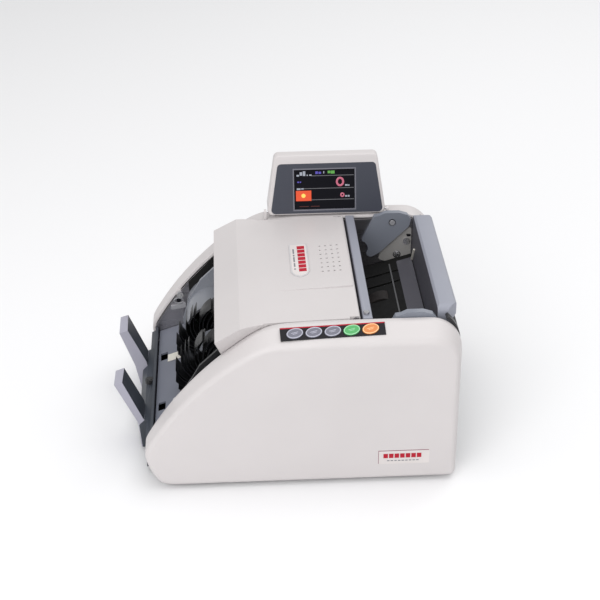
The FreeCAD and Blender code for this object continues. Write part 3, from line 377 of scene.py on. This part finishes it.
class Sketch:
    """Closed solids gathered into one mesh, drawn in a surface frame in millimetres."""

    def __init__(self, frame_matrix=Matrix.Identity(4)):
        self.frame = frame_matrix
        self.vertices = []
        self.faces = []

    def add_points(self, points):
        start = len(self.vertices)
        self.vertices += [tuple(self.frame @ Vector(p) * MM) for p in points]
        return start

    def slab(self, outline, low, high):
        """A plate with the given outline, from one height over the surface to another."""
        count = len(outline)
        start = self.add_points([(x, y, low) for x, y in outline] + [(x, y, high) for x, y in outline])
        self.faces.append([start + i for i in range(count)][::-1])
        self.faces.append([start + count + i for i in range(count)])
        for i in range(count):
            after = (i + 1) % count
            self.faces.append([start + i, start + after, start + count + after, start + count + i])
        return self

    def bar(self, x0, x1, y0, y1, low, high):
        return self.slab(oblong(x0, x1, y0, y1), low, high)

    def hoop(self, middle, radii, width, low, high, turn=0.0, count=64, sides=8):
        """A rounded ring along an ellipse."""
        rows = []
        half = (high - low) / 2
        for i in range(count):
            angle = 2 * math.pi * i / count
            for j in range(sides):
                tube = 2 * math.pi * j / sides
                out = width / 2 * math.cos(tube)
                x = (radii[0] + out) * math.cos(angle)
                y = (radii[1] + out) * math.sin(angle)
                rows.append((middle[0] + x * math.cos(turn) - y * math.sin(turn),
                             middle[1] + x * math.sin(turn) + y * math.cos(turn),
                             low + half + half * math.sin(tube)))
        start = self.add_points(rows)
        for i in range(count):
            for j in range(sides):
                a, b = start + i * sides, start + (i + 1) % count * sides
                k = (j + 1) % sides
                self.faces.append([a + j, b + j, b + k, a + k])
        return self

    def rod(self, middle, radius, low, high, count=32, lip=0.0):
        """An upright cylinder, with a small chamfer at its top if it has a lip."""
        rings = [(radius, low), (radius, high)]
        if lip:
            rings = [(radius, low), (radius, high - lip), (radius - lip, high)]
        rows = [(x, y, z) for r, z in rings for x, y in regular(middle, r, count)]
        start = self.add_points(rows)
        for level in range(len(rings) - 1):
            a, b = start + level * count, start + (level + 1) * count
            self.faces += [[a + i, a + (i + 1) % count, b + (i + 1) % count, b + i] for i in range(count)]
        self.faces.append([start + i for i in range(count)][::-1])
        self.faces.append([start + (len(rings) - 1) * count + i for i in range(count)])
        return self

    def mesh(self, name, angle=35.0):
        mesh = bpy.data.meshes.new(name)
        mesh.from_pydata(self.vertices, [], self.faces)
        outward(mesh)
        smooth(mesh, angle)
        return mesh


def draw(name, sketch, material, body="chassis", slot=None, angle=35.0):
    """Places a sketch's mesh as a piece of its own."""
    return place(name, sketch.mesh(name, angle), material, body, slot)


def rounded(points, radius, steps=6):
    """An outline with all its corners rounded."""
    path = []
    for i, corner in enumerate(points):
        path += fillet(points[i - 1], corner, points[(i + 1) % len(points)], radius, steps)
    return path


# ---- side shells -----------------------------------------------------------------------
RIGHT_EDGE = 4.5
LEFT_EDGE = 5.5
RIM_STEPS = [(RIM_X, 0.7, 0.0), (RIM_X + 0.25, 0.2, 0.0), (RIM_X + 0.8, 0.0, 0.0)]


def drop_at(x):
    """How far the sloping shoulder has fallen at X, eased in over the crease."""
    ease = 1.4
    slope = SHOULDER_DROP / (HALF_WIDTH - SHOULDER_X)
    past = x - SHOULDER_X
    if past <= -ease:
        return 0.0
    if past < ease:
        return slope * (past + ease) ** 2 / (4 * ease)
    return slope * past


def shell_sections(side):
    """(X, inset, drop) of each ring, from the inner rim across the outside to the side face."""
    edge = RIGHT_EDGE if side > 0 else LEFT_EDGE
    xs = [SHOULDER_X - 1.4 + 0.4 * i for i in range(8)] + [109.0, 113.0, HALF_WIDTH - edge]
    sections = RIM_STEPS + [(x, 0.0, drop_at(x) if side > 0 else 0.0) for x in xs]
    for i in range(1, 11):
        turn = math.pi / 2 * i / 10
        x = HALF_WIDTH - edge + edge * math.sin(turn)
        sections.append((x, edge * (1 - math.cos(turn)), drop_at(x) if side > 0 else 0.0))
    return sections


def make_side_shell(side, name, node):
    deep = drop_at(HALF_WIDTH - SHELL_WALL) if side > 0 else 0.0
    inside = [(HALF_WIDTH - SHELL_WALL, SHELL_WALL + 2.0, deep), (SHOULDER_X, SHELL_WALL, 0.0),
              (RIM_X, SHELL_WALL, 0.0)]
    mesh = loft([side_ring(side * x, inset, drop) for x, inset, drop in inside + shell_sections(side)])
    smooth(mesh, 40.0)
    return place(name, mesh, "white_shell", "chassis", "white_shell", [node])


def cut_with(piece, sketch):
    """Cuts a sketch's solids out of a piece and keeps the result as its mesh."""
    cutter = bpy.data.objects.new("cutter", sketch.mesh("cutter"))
    bpy.context.scene.collection.objects.link(cutter)
    modifier = piece.modifiers.new("cut", "BOOLEAN")
    modifier.object = cutter
    modifier.operation = "DIFFERENCE"
    modifier.solver = "EXACT"
    bpy.context.view_layer.update()
    evaluated = piece.evaluated_get(bpy.context.evaluated_depsgraph_get())
    cut = bpy.data.meshes.new_from_object(evaluated)
    piece.modifiers.remove(modifier)
    old = piece.data
    piece.data = cut
    bpy.data.meshes.remove(old)
    tool = cutter.data
    bpy.data.objects.remove(cutter)
    bpy.data.meshes.remove(tool)
    smooth(cut, 40.0)


BOSSES = [(-94.75, 75.0), (-92.0, 20.0), (-20.0, 132.0), (132.0, 22.0), (126.0, 127.0)]
LUG_SPANS = [(-10.85, -8.65), (106.35, 108.55)]
LUG_HINGE = (-101.2, 159.2)
LUG_R = 2.2
LUG_FOOT = 150.0


def append_to(piece, sketch, angle=40.0):
    """Joins a sketch's solids to a piece's mesh."""
    built = bmesh.new()
    built.from_mesh(piece.data)
    extra = sketch.mesh("extra")
    built.from_mesh(extra)
    built.to_mesh(piece.data)
    built.free()
    bpy.data.meshes.remove(extra)
    smooth(piece.data, angle)


def bosses(side):
    """The hollow-headed pillars inside a shell that the case screws go into."""
    sketch = Sketch(surface((side * 96.5, 0, 0), (0, side, 0), (0, 0, 1)))
    for y, z in BOSSES:
        sketch.rod((side * y, z), 4.0, 0.0, HALF_WIDTH - SHELL_WALL - 96.0, 24)
    return sketch


def make_shells():
    right = make_side_shell(1, "right_shell_skin", "right_side_shell")
    window = Sketch(STRIP).bar(0.8 - STRIP_HALF, STRIP_HALF - 0.8, -WINDOW_HALF, WINDOW_HALF, -6.0, 2.0)
    cut_with(right, window)
    append_to(right, bosses(1))
    left = make_side_shell(-1, "left_shell_skin", "left_side_shell")
    x, z = LUG_HINGE
    lugs = Sketch(surface((0, 0, 0), (-1, 0, 0), (0, 0, 1)))
    arc = [polar((-x, z), LUG_R, math.pi * i / 12) for i in range(13)]
    for y0, y1 in LUG_SPANS:
        lugs.slab([(-x - LUG_R, LUG_FOOT), (-x + LUG_R, LUG_FOOT)] + arc, y0, y1)
    append_to(left, lugs)
    append_to(left, bosses(-1))


# ---- CAD pieces with softened edges ----------------------------------------------------
def refined(node, name, material, body, slot, width, segments=3, angle=32.0):
    """A copy of a CAD node's surface with welded, flat faces and softly rounded edges."""
    built = bmesh.new()
    built.from_mesh(NODES[node].data)
    bmesh.ops.remove_doubles(built, verts=built.verts, dist=0.000002)
    bmesh.ops.dissolve_limit(built, angle_limit=math.radians(0.5), verts=built.verts, edges=built.edges)
    mesh = bpy.data.meshes.new(name)
    built.to_mesh(mesh)
    built.free()
    smooth(mesh, angle)
    piece = place(name, mesh, material, body, slot, [node])
    return bevel(piece, width, segments, angle)


def make_back_box():
    """The hopper's back box; the face that the notes lean on gets a darker grey as painted shade."""
    box = refined("hopper_back_box", "back_box", "hopper_grey", "chassis", "hopper_grey", 0.9)
    box.data.materials.append(MATERIALS["plate_grey"])
    # painted shade: the inner face of the back wall takes the darker plate grey
    for polygon in box.data.polygons:
        if polygon.normal.y < -0.9 and polygon.center.y < 0.1315:
            polygon.material_index = 1


# X past which the guide's faces are coloured black as painted shade
SHADED_GUIDE_END_X = 69.5
ARM_FACE_X = (32.9, 60.2)
ARM_FACE_Y = -124.6


def make_stack_guide():
    """The curved note guide; its end behind the right shell is coloured black as painted shade."""
    guide = refined("stack_guide", "guide_nose", "guide_grey", "chassis", "guide_grey", 0.25)
    guide.data.materials.append(MATERIALS["black_plastic"])
    # painted shade: the guide's end behind the right shell is coloured black
    for polygon in guide.data.polygons:
        if polygon.center.x > SHADED_GUIDE_END_X * MM:
            polygon.material_index = 1


def refine_cad_pieces():
    refined("top_cover", "cover_skin", "white_shell", "cover", "white_shell", 0.7)
    refined("hopper_front_bar", "front_bar", "hopper_grey", "chassis", "hopper_grey", 0.5)
    make_back_box()
    refined("hopper_floor", "hopper_pan", "pit_black", "chassis", "dark_metal", 0.2)
    refined("hopper_cheeks", "cheeks", "cheek_grey", "chassis", "hopper_grey", 0.5)
    refined("stacker_floor", "floor_plate", "floor_grey", "chassis", "floor_grey", 0.3)
    refined("note_stop_pad", "stop_pad", "cream_plastic", "chassis", "cream_plastic", 0.2)
    make_stack_guide()
    refined("rear_cover", "rear_panel", "black_plastic", "chassis", "black_plastic", 0.4)
    refined("display_housing", "display_case", "white_shell", "display", "white_shell", 0.4)
    refined("display_bezel", "display_mask", "bezel_grey", "display", "bezel_grey", 0.15)
    refined("control_strip", "key_strip", "strip_black", "chassis", "strip_black", 0.2)
    refined("power_inlet", "inlet_body", "black_plastic", "chassis", "black_plastic", 0.3)
    refined("switch_housing", "switch_frame", "black_plastic", "chassis", "black_plastic", 0.25)
    refined("power_rocker", "rocker_cap", "black_plastic", "rocker", "black_plastic", 0.3)


def make_fork():
    """The stacker fork: light arms whose faces towards the notes are dark, on a dark base."""
    fork = refined("stacker_fork", "fork_body", "fork_grey", "chassis", "fork_grey", 0.5)
    fork.data.materials.append(MATERIALS["fork_light"])
    for polygon in fork.data.polygons:
        x, y = abs(polygon.center.x) / MM, polygon.center.y / MM
        on_arm = ARM_FACE_X[0] <= x <= ARM_FACE_X[1] and y < ARM_FACE_Y
        if on_arm and polygon.normal.y < 0.3:
            polygon.material_index = 1


# ---- impellers -------------------------------------------------------------------------
IMPELLER = (-58.75, 64.0)
IMPELLER_R = 39.0
IMPELLER_HUB = 17.0
IMPELLER_HALF = 10.5
BLADES = 30
BLADE_STEPS = 9


def impeller_point(radius, degrees):
    return polar(IMPELLER, radius, math.radians(degrees))


def make_impeller(x, name, node):
    """A hub with thin rubber blades whose tips trail, each bent a little differently."""
    half = IMPELLER_HALF
    sketch = Sketch(surface((x, 0, 0), (0, 1, 0), (0, 0, 1)))
    sketch.rod(IMPELLER, IMPELLER_HUB + 0.4, -half + 0.2, half - 0.2, 72)
    sketch.rod(IMPELLER, IMPELLER_HUB - 5.0, -half - 0.6, half + 0.6, 48)
    for i in range(BLADES):
        root = 360.0 * i / BLADES
        bend = 42.0 + 5.0 * math.sin(2.4 * i + x)
        lead, trail = [], []
        for k in range(BLADE_STEPS + 1):
            t = k / BLADE_STEPS
            radius = IMPELLER_HUB + (IMPELLER_R - 0.1 - IMPELLER_HUB) * t
            turn = root - bend * (0.7 * t + 0.3 * t * t)
            wall = math.degrees((1.5 - 1.0 * t) / radius)
            lead.append(impeller_point(radius, turn))
            trail.append(impeller_point(radius, turn + wall))
        sketch.slab(lead + trail[::-1], -half, half)
    place(name, sketch.mesh(name, 30.0), "blade_rubber", "impeller_rotor", "black_rubber", [node])


# ---- keys, strip, badge and label ------------------------------------------------------
KEY_TILT = math.radians(12.0)
KEY_PITCH = 16.0
KEY_LOOKS = [("menu", "rim_grey", "key_grey"), ("mode", "rim_grey", "key_grey"),
             ("batch", "rim_grey", "key_grey"), ("start", "rim_green", "key_green"),
             ("reset", "rim_orange", "key_orange")]


TILES = 7
BADGE_RULES = [(-31.0, -22.0), (-20.0, -17.0), (-15.5, -6.0), (-4.0, 3.0), (6.0, 8.5)]


def make_key_trim():
    """A lighter rim and two plain bars on each oval key."""
    for i, (key, material, slot) in enumerate(KEY_LOOKS):
        middle = Matrix.Translation((KEY_PITCH * (i - 2), 0, KEY_TOP))
        top = STRIP @ middle @ Matrix.Rotation(KEY_TILT, 4, "Z")
        rim = Sketch(top).hoop((0, 0), (6.55, 4.3), 0.95, -0.3, 0.3)
        draw(key + "_key_rim", rim, material, key + "_key", slot)
        marks = Sketch(top).bar(-3.1, 3.1, 0.3, 0.8, -0.1, 0.08).bar(-2.1, 2.1, -0.9, -0.4, -0.1, 0.08)
        draw(key + "_key_bars", marks, material, key + "_key", slot)


def make_prints():
    """The red line over the keys, and the side label with plain tiles and rules."""
    line = Sketch(STRIP).bar(0.2 - STRIP_HALF, STRIP_HALF - 0.2, 5.05, 6.1, 0.6, 0.9)
    draw("strip_red_line", line, "print_red")
    label = Sketch(NEAR_SIDE).slab(rounded(oblong(79.2, 124.4, 20.0, 34.6), 1.0), -0.3, 0.06)
    draw("side_label", label, "badge_white")
    edge = Sketch(NEAR_SIDE).bar(79.6, 124.0, 33.6, 34.3, 0.0, 0.12).bar(79.5, 80.0, 20.4, 34.0, 0.0, 0.12)
    draw("side_label_edge", edge, "print_plum")
    blocks = Sketch(NEAR_SIDE)
    for i in range(TILES):
        blocks.bar(84.0 + 4.9 * i, 88.0 + 4.9 * i, 26.2, 30.8, 0.0, 0.12)
    draw("side_label_blocks", blocks, "print_red")
    rule = Sketch(NEAR_SIDE)
    for i in range(9):
        rule.bar(87.3 + 3.2 * i, 89.5 + 3.2 * i, 22.9, 23.9, 0.0, 0.1)
    draw("side_label_rule", rule, "print_grey")


def badge_outline(margin):
    """The badge's tongue shape on the raised panel, shrunk by a margin."""
    low, high = 47.6 + margin, 64.6 - margin
    far, shoulder, tip = -41.0 + margin, 12.0 - margin * 0.3, 21.5 - margin
    middle = (low + high) / 2
    return rounded([(far, low), (shoulder, low), (tip - 3.0, middle - 5.4 + margin * 0.4), (tip, middle),
                    (tip - 3.0, middle + 5.4 - margin * 0.4), (shoulder, high), (far, high)], 1.4)


def make_badge():
    base = Sketch(PANEL).slab(badge_outline(0.0), -0.2, 0.9)
    mesh = base.mesh("badge_body", 25.0)
    plate = place("badge_body", mesh, "badge_silver", "cover", "badge_silver", ["cover_badge"])
    bevel(plate, 0.35, 3, 25.0)
    inlay = Sketch(PANEL).slab(badge_outline(1.3), 0.7, 0.98)
    draw("badge_inlay", inlay, "badge_white", "cover", angle=25.0)
    blocks = Sketch(PANEL)
    for i in range(TILES):
        blocks.bar(-36.0 + 7.1 * i, -30.2 + 7.1 * i, 55.0, 61.8, 0.9, 1.12)
    draw("badge_blocks", blocks, "print_red", "cover")
    rule = Sketch(PANEL)
    for x0, x1 in BADGE_RULES:
        rule.bar(x0, x1, 50.8, 52.2, 0.9, 1.08)
    draw("badge_rule", rule, "print_grey", "cover")


# ---- display screen --------------------------------------------------------------------
SCREEN_X0, SCREEN_X1 = -31.6, 28.4
SCREEN_Y0, SCREEN_Y1 = 4.4, 45.2
GLASS_UP = -1.4


def on_screen(u, v):
    """A place on the screen from fractions across it and down it."""
    return (SCREEN_X0 + (SCREEN_X1 - SCREEN_X0) * u, SCREEN_Y1 - (SCREEN_Y1 - SCREEN_Y0) * v)


def screen_bars(name, spans, material):
    """Thin lit bars, each given as left, right, top and bottom fractions of the screen."""
    sketch = Sketch(FACE)
    for left, right, top, bottom in spans:
        x0, y1 = on_screen(left, top)
        x1, y0 = on_screen(right, bottom)
        sketch.bar(x0, x1, y0, y1, GLASS_UP - 0.1, GLASS_UP + 0.12)
    draw(name, sketch, material, "display")


# Lit bars by piece: its material, then each bar's left, right, top and bottom fractions.
SCREEN_BARS = {
    "screen_lines": ("lit_grey", [
        (0.30, 0.97, 0.175, 0.19), (0.17, 0.97, 0.475, 0.49), (0.29, 0.97, 0.745, 0.76)]),
    "screen_words": ("lit_white", [
        (0.06, 0.10, 0.15, 0.19), (0.11, 0.15, 0.09, 0.17), (0.16, 0.20, 0.07, 0.18),
        (0.22, 0.24, 0.15, 0.18), (0.26, 0.30, 0.15, 0.18), (0.06, 0.12, 0.47, 0.51),
        (0.13, 0.17, 0.47, 0.50), (0.83, 0.87, 0.40, 0.44), (0.875, 0.90, 0.41, 0.44),
        (0.83, 0.86, 0.66, 0.70), (0.87, 0.90, 0.66, 0.70), (0.485, 0.50, 0.08, 0.13)]),
    "screen_blue": ("lit_blue", [
        (0.36, 0.40, 0.08, 0.14), (0.41, 0.45, 0.09, 0.14), (0.07, 0.10, 0.31, 0.34),
        (0.11, 0.13, 0.31, 0.34)]),
    "screen_green": ("lit_green", [(0.555, 0.60, 0.07, 0.13), (0.605, 0.665, 0.07, 0.14)]),
    "screen_block": ("lit_red", [(0.045, 0.29, 0.53, 0.775)]),
    "screen_low": ("lit_dim_red", [(0.10, 0.25, 0.90, 0.915), (0.28, 0.42, 0.90, 0.915)]),
}


def make_screen():
    frame_line = Sketch(FACE)
    x0, x1, y0, y1 = SCREEN_X0, SCREEN_X1, SCREEN_Y0, SCREEN_Y1
    wide = 1.1
    frame_line.bar(x0 - 0.1, x1 + 0.1, y1 - wide, y1 + 0.1, -1.35, 0.42)
    frame_line.bar(x0 - 0.1, x1 + 0.1, y0 - 0.1, y0 + wide, -1.35, 0.42)
    frame_line.bar(x0 - 0.1, x0 + wide, y0 + wide, y1 - wide, -1.35, 0.42)
    frame_line.bar(x1 - wide, x1 + 0.1, y0 + wide, y1 - wide, -1.35, 0.42)
    draw("screen_surround", frame_line, "surround_grey", "display")
    for name, (material, spans) in SCREEN_BARS.items():
        screen_bars(name, spans, material)
    dot = Sketch(FACE).rod(on_screen(0.165, 0.65), 2.0, GLASS_UP - 0.1, GLASS_UP + 0.22)
    draw("screen_dot", dot, "lit_yellow", "display")
    rings = Sketch(FACE).hoop(on_screen(0.75, 0.335), (3.0, 3.6), 1.9, GLASS_UP - 0.1, GLASS_UP + 0.16)
    rings.hoop(on_screen(0.785, 0.65), (1.4, 1.6), 1.3, GLASS_UP - 0.1, GLASS_UP + 0.14)
    draw("screen_rings", rings, "lit_pink", "display")


# ---- small parts seen inside -----------------------------------------------------------
HOPPER_TILT = math.atan2(15.6, 53.8)
HOPPER_FLOOR = surface((0, 77.0, 97.4), (1, 0, 0), (0, math.cos(HOPPER_TILT), math.sin(HOPPER_TILT)))
BACK_WALL = surface((0, 131.0, 0), (1, 0, 0), (0, 0, 1))
FORK_TOP = surface((0, -123.5, 0), (1, 0, 0), (0, 1, 0))
# Outlines on the far side frame as (Y, Z), and the tab's on the back wall as (X, Z).
FRAME_LINER = [(101.0, 118.0), (99.0, 108.0), (108.0, 104.6), (130.6, 112.0), (130.6, 141.0),
               (126.0, 141.0)]
FRAME_NOTCH = [(125.2, 134.6), (126.8, 131.6), (130.2, 131.8), (130.2, 134.0)]
# a black patch on the far frame where it lies in shade: painted shade
FRAME_SHADE_PATCH = [(-86.5, 47.0), (-85.0, 60.0), (-86.0, 89.0), (-76.5, 99.0), (-60.0, 116.5),
                (-45.0, 128.0), (-30.0, 128.0), (-30.0, 47.0)]
SENSOR_PLATE = [(-104.5, 59.0), (-89.5, 61.5), (-89.5, 66.0), (-104.5, 63.0)]
FRAME_TAB = [(-86.6, 109.0), (-83.6, 109.0), (-66.4, 131.5), (-69.0, 131.5)]
FRAME_BOLT = (117.0, 112.6)
SENSOR_EYE = (-96.5, 68.6)
CHEEK_SCREW = (111.5, 148.5)
CHEEK_INNER_X = 91.0
KNOB_RIDGES = 16


def make_hopper_details():
    """The hopper floor's rest plate and rail, and the plate, tab, bolt and screws at its ends."""
    plate = Sketch(HOPPER_FLOOR).slab(rounded(oblong(-86, 86, 40.5, 55.4), 1.5), 0.05, 0.7)
    draw("hopper_rest_plate", plate, "plate_grey")
    ridge = Sketch(HOPPER_FLOOR).slab(rounded(oblong(-84, 88, 32.6, 33.9), 0.4), 0.0, 1.0)
    draw("hopper_ridge", ridge, "ridge_grey")
    liner = Sketch(FAR_FRAME).slab(rounded(FRAME_LINER, 2.0), 0.0, 0.6)
    draw("frame_liner", liner, "zinc", slot="frame_steel")
    tab = Sketch(BACK_WALL).slab(rounded(FRAME_TAB, 0.6), 0.0, 1.6)
    draw("frame_tab", tab, "cream_plastic", slot="cream_plastic")
    bolt = Sketch(FAR_FRAME).hoop(FRAME_BOLT, (3.3, 3.3), 1.2, 0.3, 1.2)
    bolt.slab(regular(FRAME_BOLT, 2.4, 6), 0.5, 2.2)
    draw("frame_bolt", bolt, "screw_steel", slot="screw_steel")
    y, z = CHEEK_SCREW
    for side, name in ((-1, "left"), (1, "right")):
        head = Sketch(surface((side * CHEEK_INNER_X, 0, 0), (0, -side, 0), (0, 0, 1)))
        head.rod((-side * y, z), 2.5, -0.1, 0.45, 32, 0.25)
        draw(name + "_cheek_screw", head, "sensor_grey")
    notch = Sketch(FAR_FRAME).slab(rounded(FRAME_NOTCH, 0.6), 0.5, 0.8)
    draw("frame_notch", notch, "screen_black")


def make_stacker_details():
    """The note sensor, a black patch of painted shade on the far frame, the pan under the floor and the
    fork's knob.
    """
    eye = Sketch(FAR_FRAME).slab(rounded(SENSOR_PLATE, 1.0), 0.0, 2.2)
    eye.hoop(SENSOR_EYE, (4.4, 2.8), 1.2, 0.0, 1.4)
    draw("stack_sensor", eye, "sensor_grey")
    # painted shade: a black patch on the far frame
    draw("frame_shade_patch", Sketch(FAR_FRAME).slab(FRAME_SHADE_PATCH, 0.0, 0.5), "pit_black")
    lens = Sketch(FAR_FRAME).rod(SENSOR_EYE, 2.2, 0.0, 0.8, 28, 0.3)
    draw("stack_sensor_lens", lens, "screen_black", slot="screen_black")
    pan = Sketch(LEVEL).bar(-94.0, 94.0, -121.0, -108.6, 22.6, 23.6)
    draw("stacker_pan", pan, "pit_black")
    grip = [polar((0, 0), 4.1 if i % 2 else 3.75, math.pi * i / KNOB_RIDGES) for i in range(2 * KNOB_RIDGES)]
    knob = Sketch(FORK_TOP).slab(grip, 34.8, 38.6).rod((0, 0), 2.6, 38.0, 39.2, 28, 0.5)
    draw("fork_knob", knob, "black_plastic", slot="black_plastic", angle=25.0)


# ---- assembly --------------------------------------------------------------------------
def dress_cad_nodes():
    slots = {entry["node"]: entry["material_slot"] for entry in frame["record"]["subparts"]}
    for name, piece in NODES.items():
        piece.data.materials.clear()
        piece.data.materials.append(MATERIALS[slots[name]])


dress_cad_nodes()
make_shells()
refine_cad_pieces()
make_fork()
make_impeller(-27.0, "left_impeller_wheel", "left_impeller")
make_impeller(27.0, "right_impeller_wheel", "right_impeller")
make_key_trim()
make_prints()
make_badge()
make_screen()
make_hopper_details()
make_stacker_details()


# ---- floor, light and camera -----------------------------------------------------------
def make_floor():
    mesh = bpy.data.meshes.new("floor")
    half = 6.0
    corners = [(x, y, 0) for x, y in oblong(-half, half, -half, half)]
    mesh.from_pydata(corners, [], [(0, 1, 2, 3)])
    floor = bpy.data.objects.new("floor", mesh)
    bpy.context.scene.collection.objects.link(floor)
    mesh.materials.append(Shader("floor_paint", (0.86, 0.86, 0.87), 0.7).mottle(0.6, 0.004).material)


def area_light(name, place_m, target, size, power, colour=(1.0, 1.0, 1.0)):
    data = bpy.data.lights.new(name, "AREA")
    data.shape = "RECTANGLE"
    data.size, data.size_y = size
    data.energy = power
    data.color = colour
    light = bpy.data.objects.new(name, data)
    bpy.context.scene.collection.objects.link(light)
    light.location = place_m
    light.rotation_euler = (Vector(target) - Vector(place_m)).to_track_quat("-Z", "Y").to_euler()


def make_light():
    world = bpy.data.worlds.new("studio")
    world.use_nodes = True
    world.node_tree.nodes["Background"].inputs["Color"].default_value = (1.0, 1.0, 1.0, 1.0)
    world.node_tree.nodes["Background"].inputs["Strength"].default_value = 0.62
    bpy.context.scene.world = world
    middle = (0.0, 0.0, 0.08)
    area_light("key", (1.5, -0.5, 1.1), middle, (1.4, 1.2), 17.0)
    area_light("top", (0.1, 0.2, 1.7), middle, (1.6, 1.6), 11.0)
    area_light("back", (-1.2, 0.9, 1.2), middle, (1.2, 1.0), 5.0)


CAMERA_PLACE = (1.18145, -0.04091, 0.79155)
CAMERA_AZIMUTH = math.radians(-2.8182)
CAMERA_ELEVATION = math.radians(30.6718)
CAMERA_ROLL = math.radians(-0.4061)


def make_camera():
    """From the machine's right side and above, rolled a little about the line of sight."""
    data = bpy.data.cameras.new("camera")
    data.sensor_width = 36.0
    data.lens = 89.43
    data.shift_x = 0.001
    data.shift_y = 0.0447
    camera = bpy.data.objects.new("camera", data)
    bpy.context.scene.collection.objects.link(camera)
    flat = math.cos(CAMERA_ELEVATION)
    back = Vector((flat * math.cos(CAMERA_AZIMUTH), flat * math.sin(CAMERA_AZIMUTH),
                   math.sin(CAMERA_ELEVATION)))
    level = Vector((-math.sin(CAMERA_AZIMUTH), math.cos(CAMERA_AZIMUTH), 0))
    right = level * math.cos(CAMERA_ROLL) + back.cross(level) * math.sin(CAMERA_ROLL)
    up = back.cross(right)
    camera.matrix_world = Matrix((
        (right.x, up.x, back.x, CAMERA_PLACE[0]),
        (right.y, up.y, back.y, CAMERA_PLACE[1]),
        (right.z, up.z, back.z, CAMERA_PLACE[2]),
        (0, 0, 0, 1)))
    bpy.context.scene.camera = camera
    bpy.context.scene.view_settings.view_transform = "Standard"


make_floor()
make_light()
make_camera()
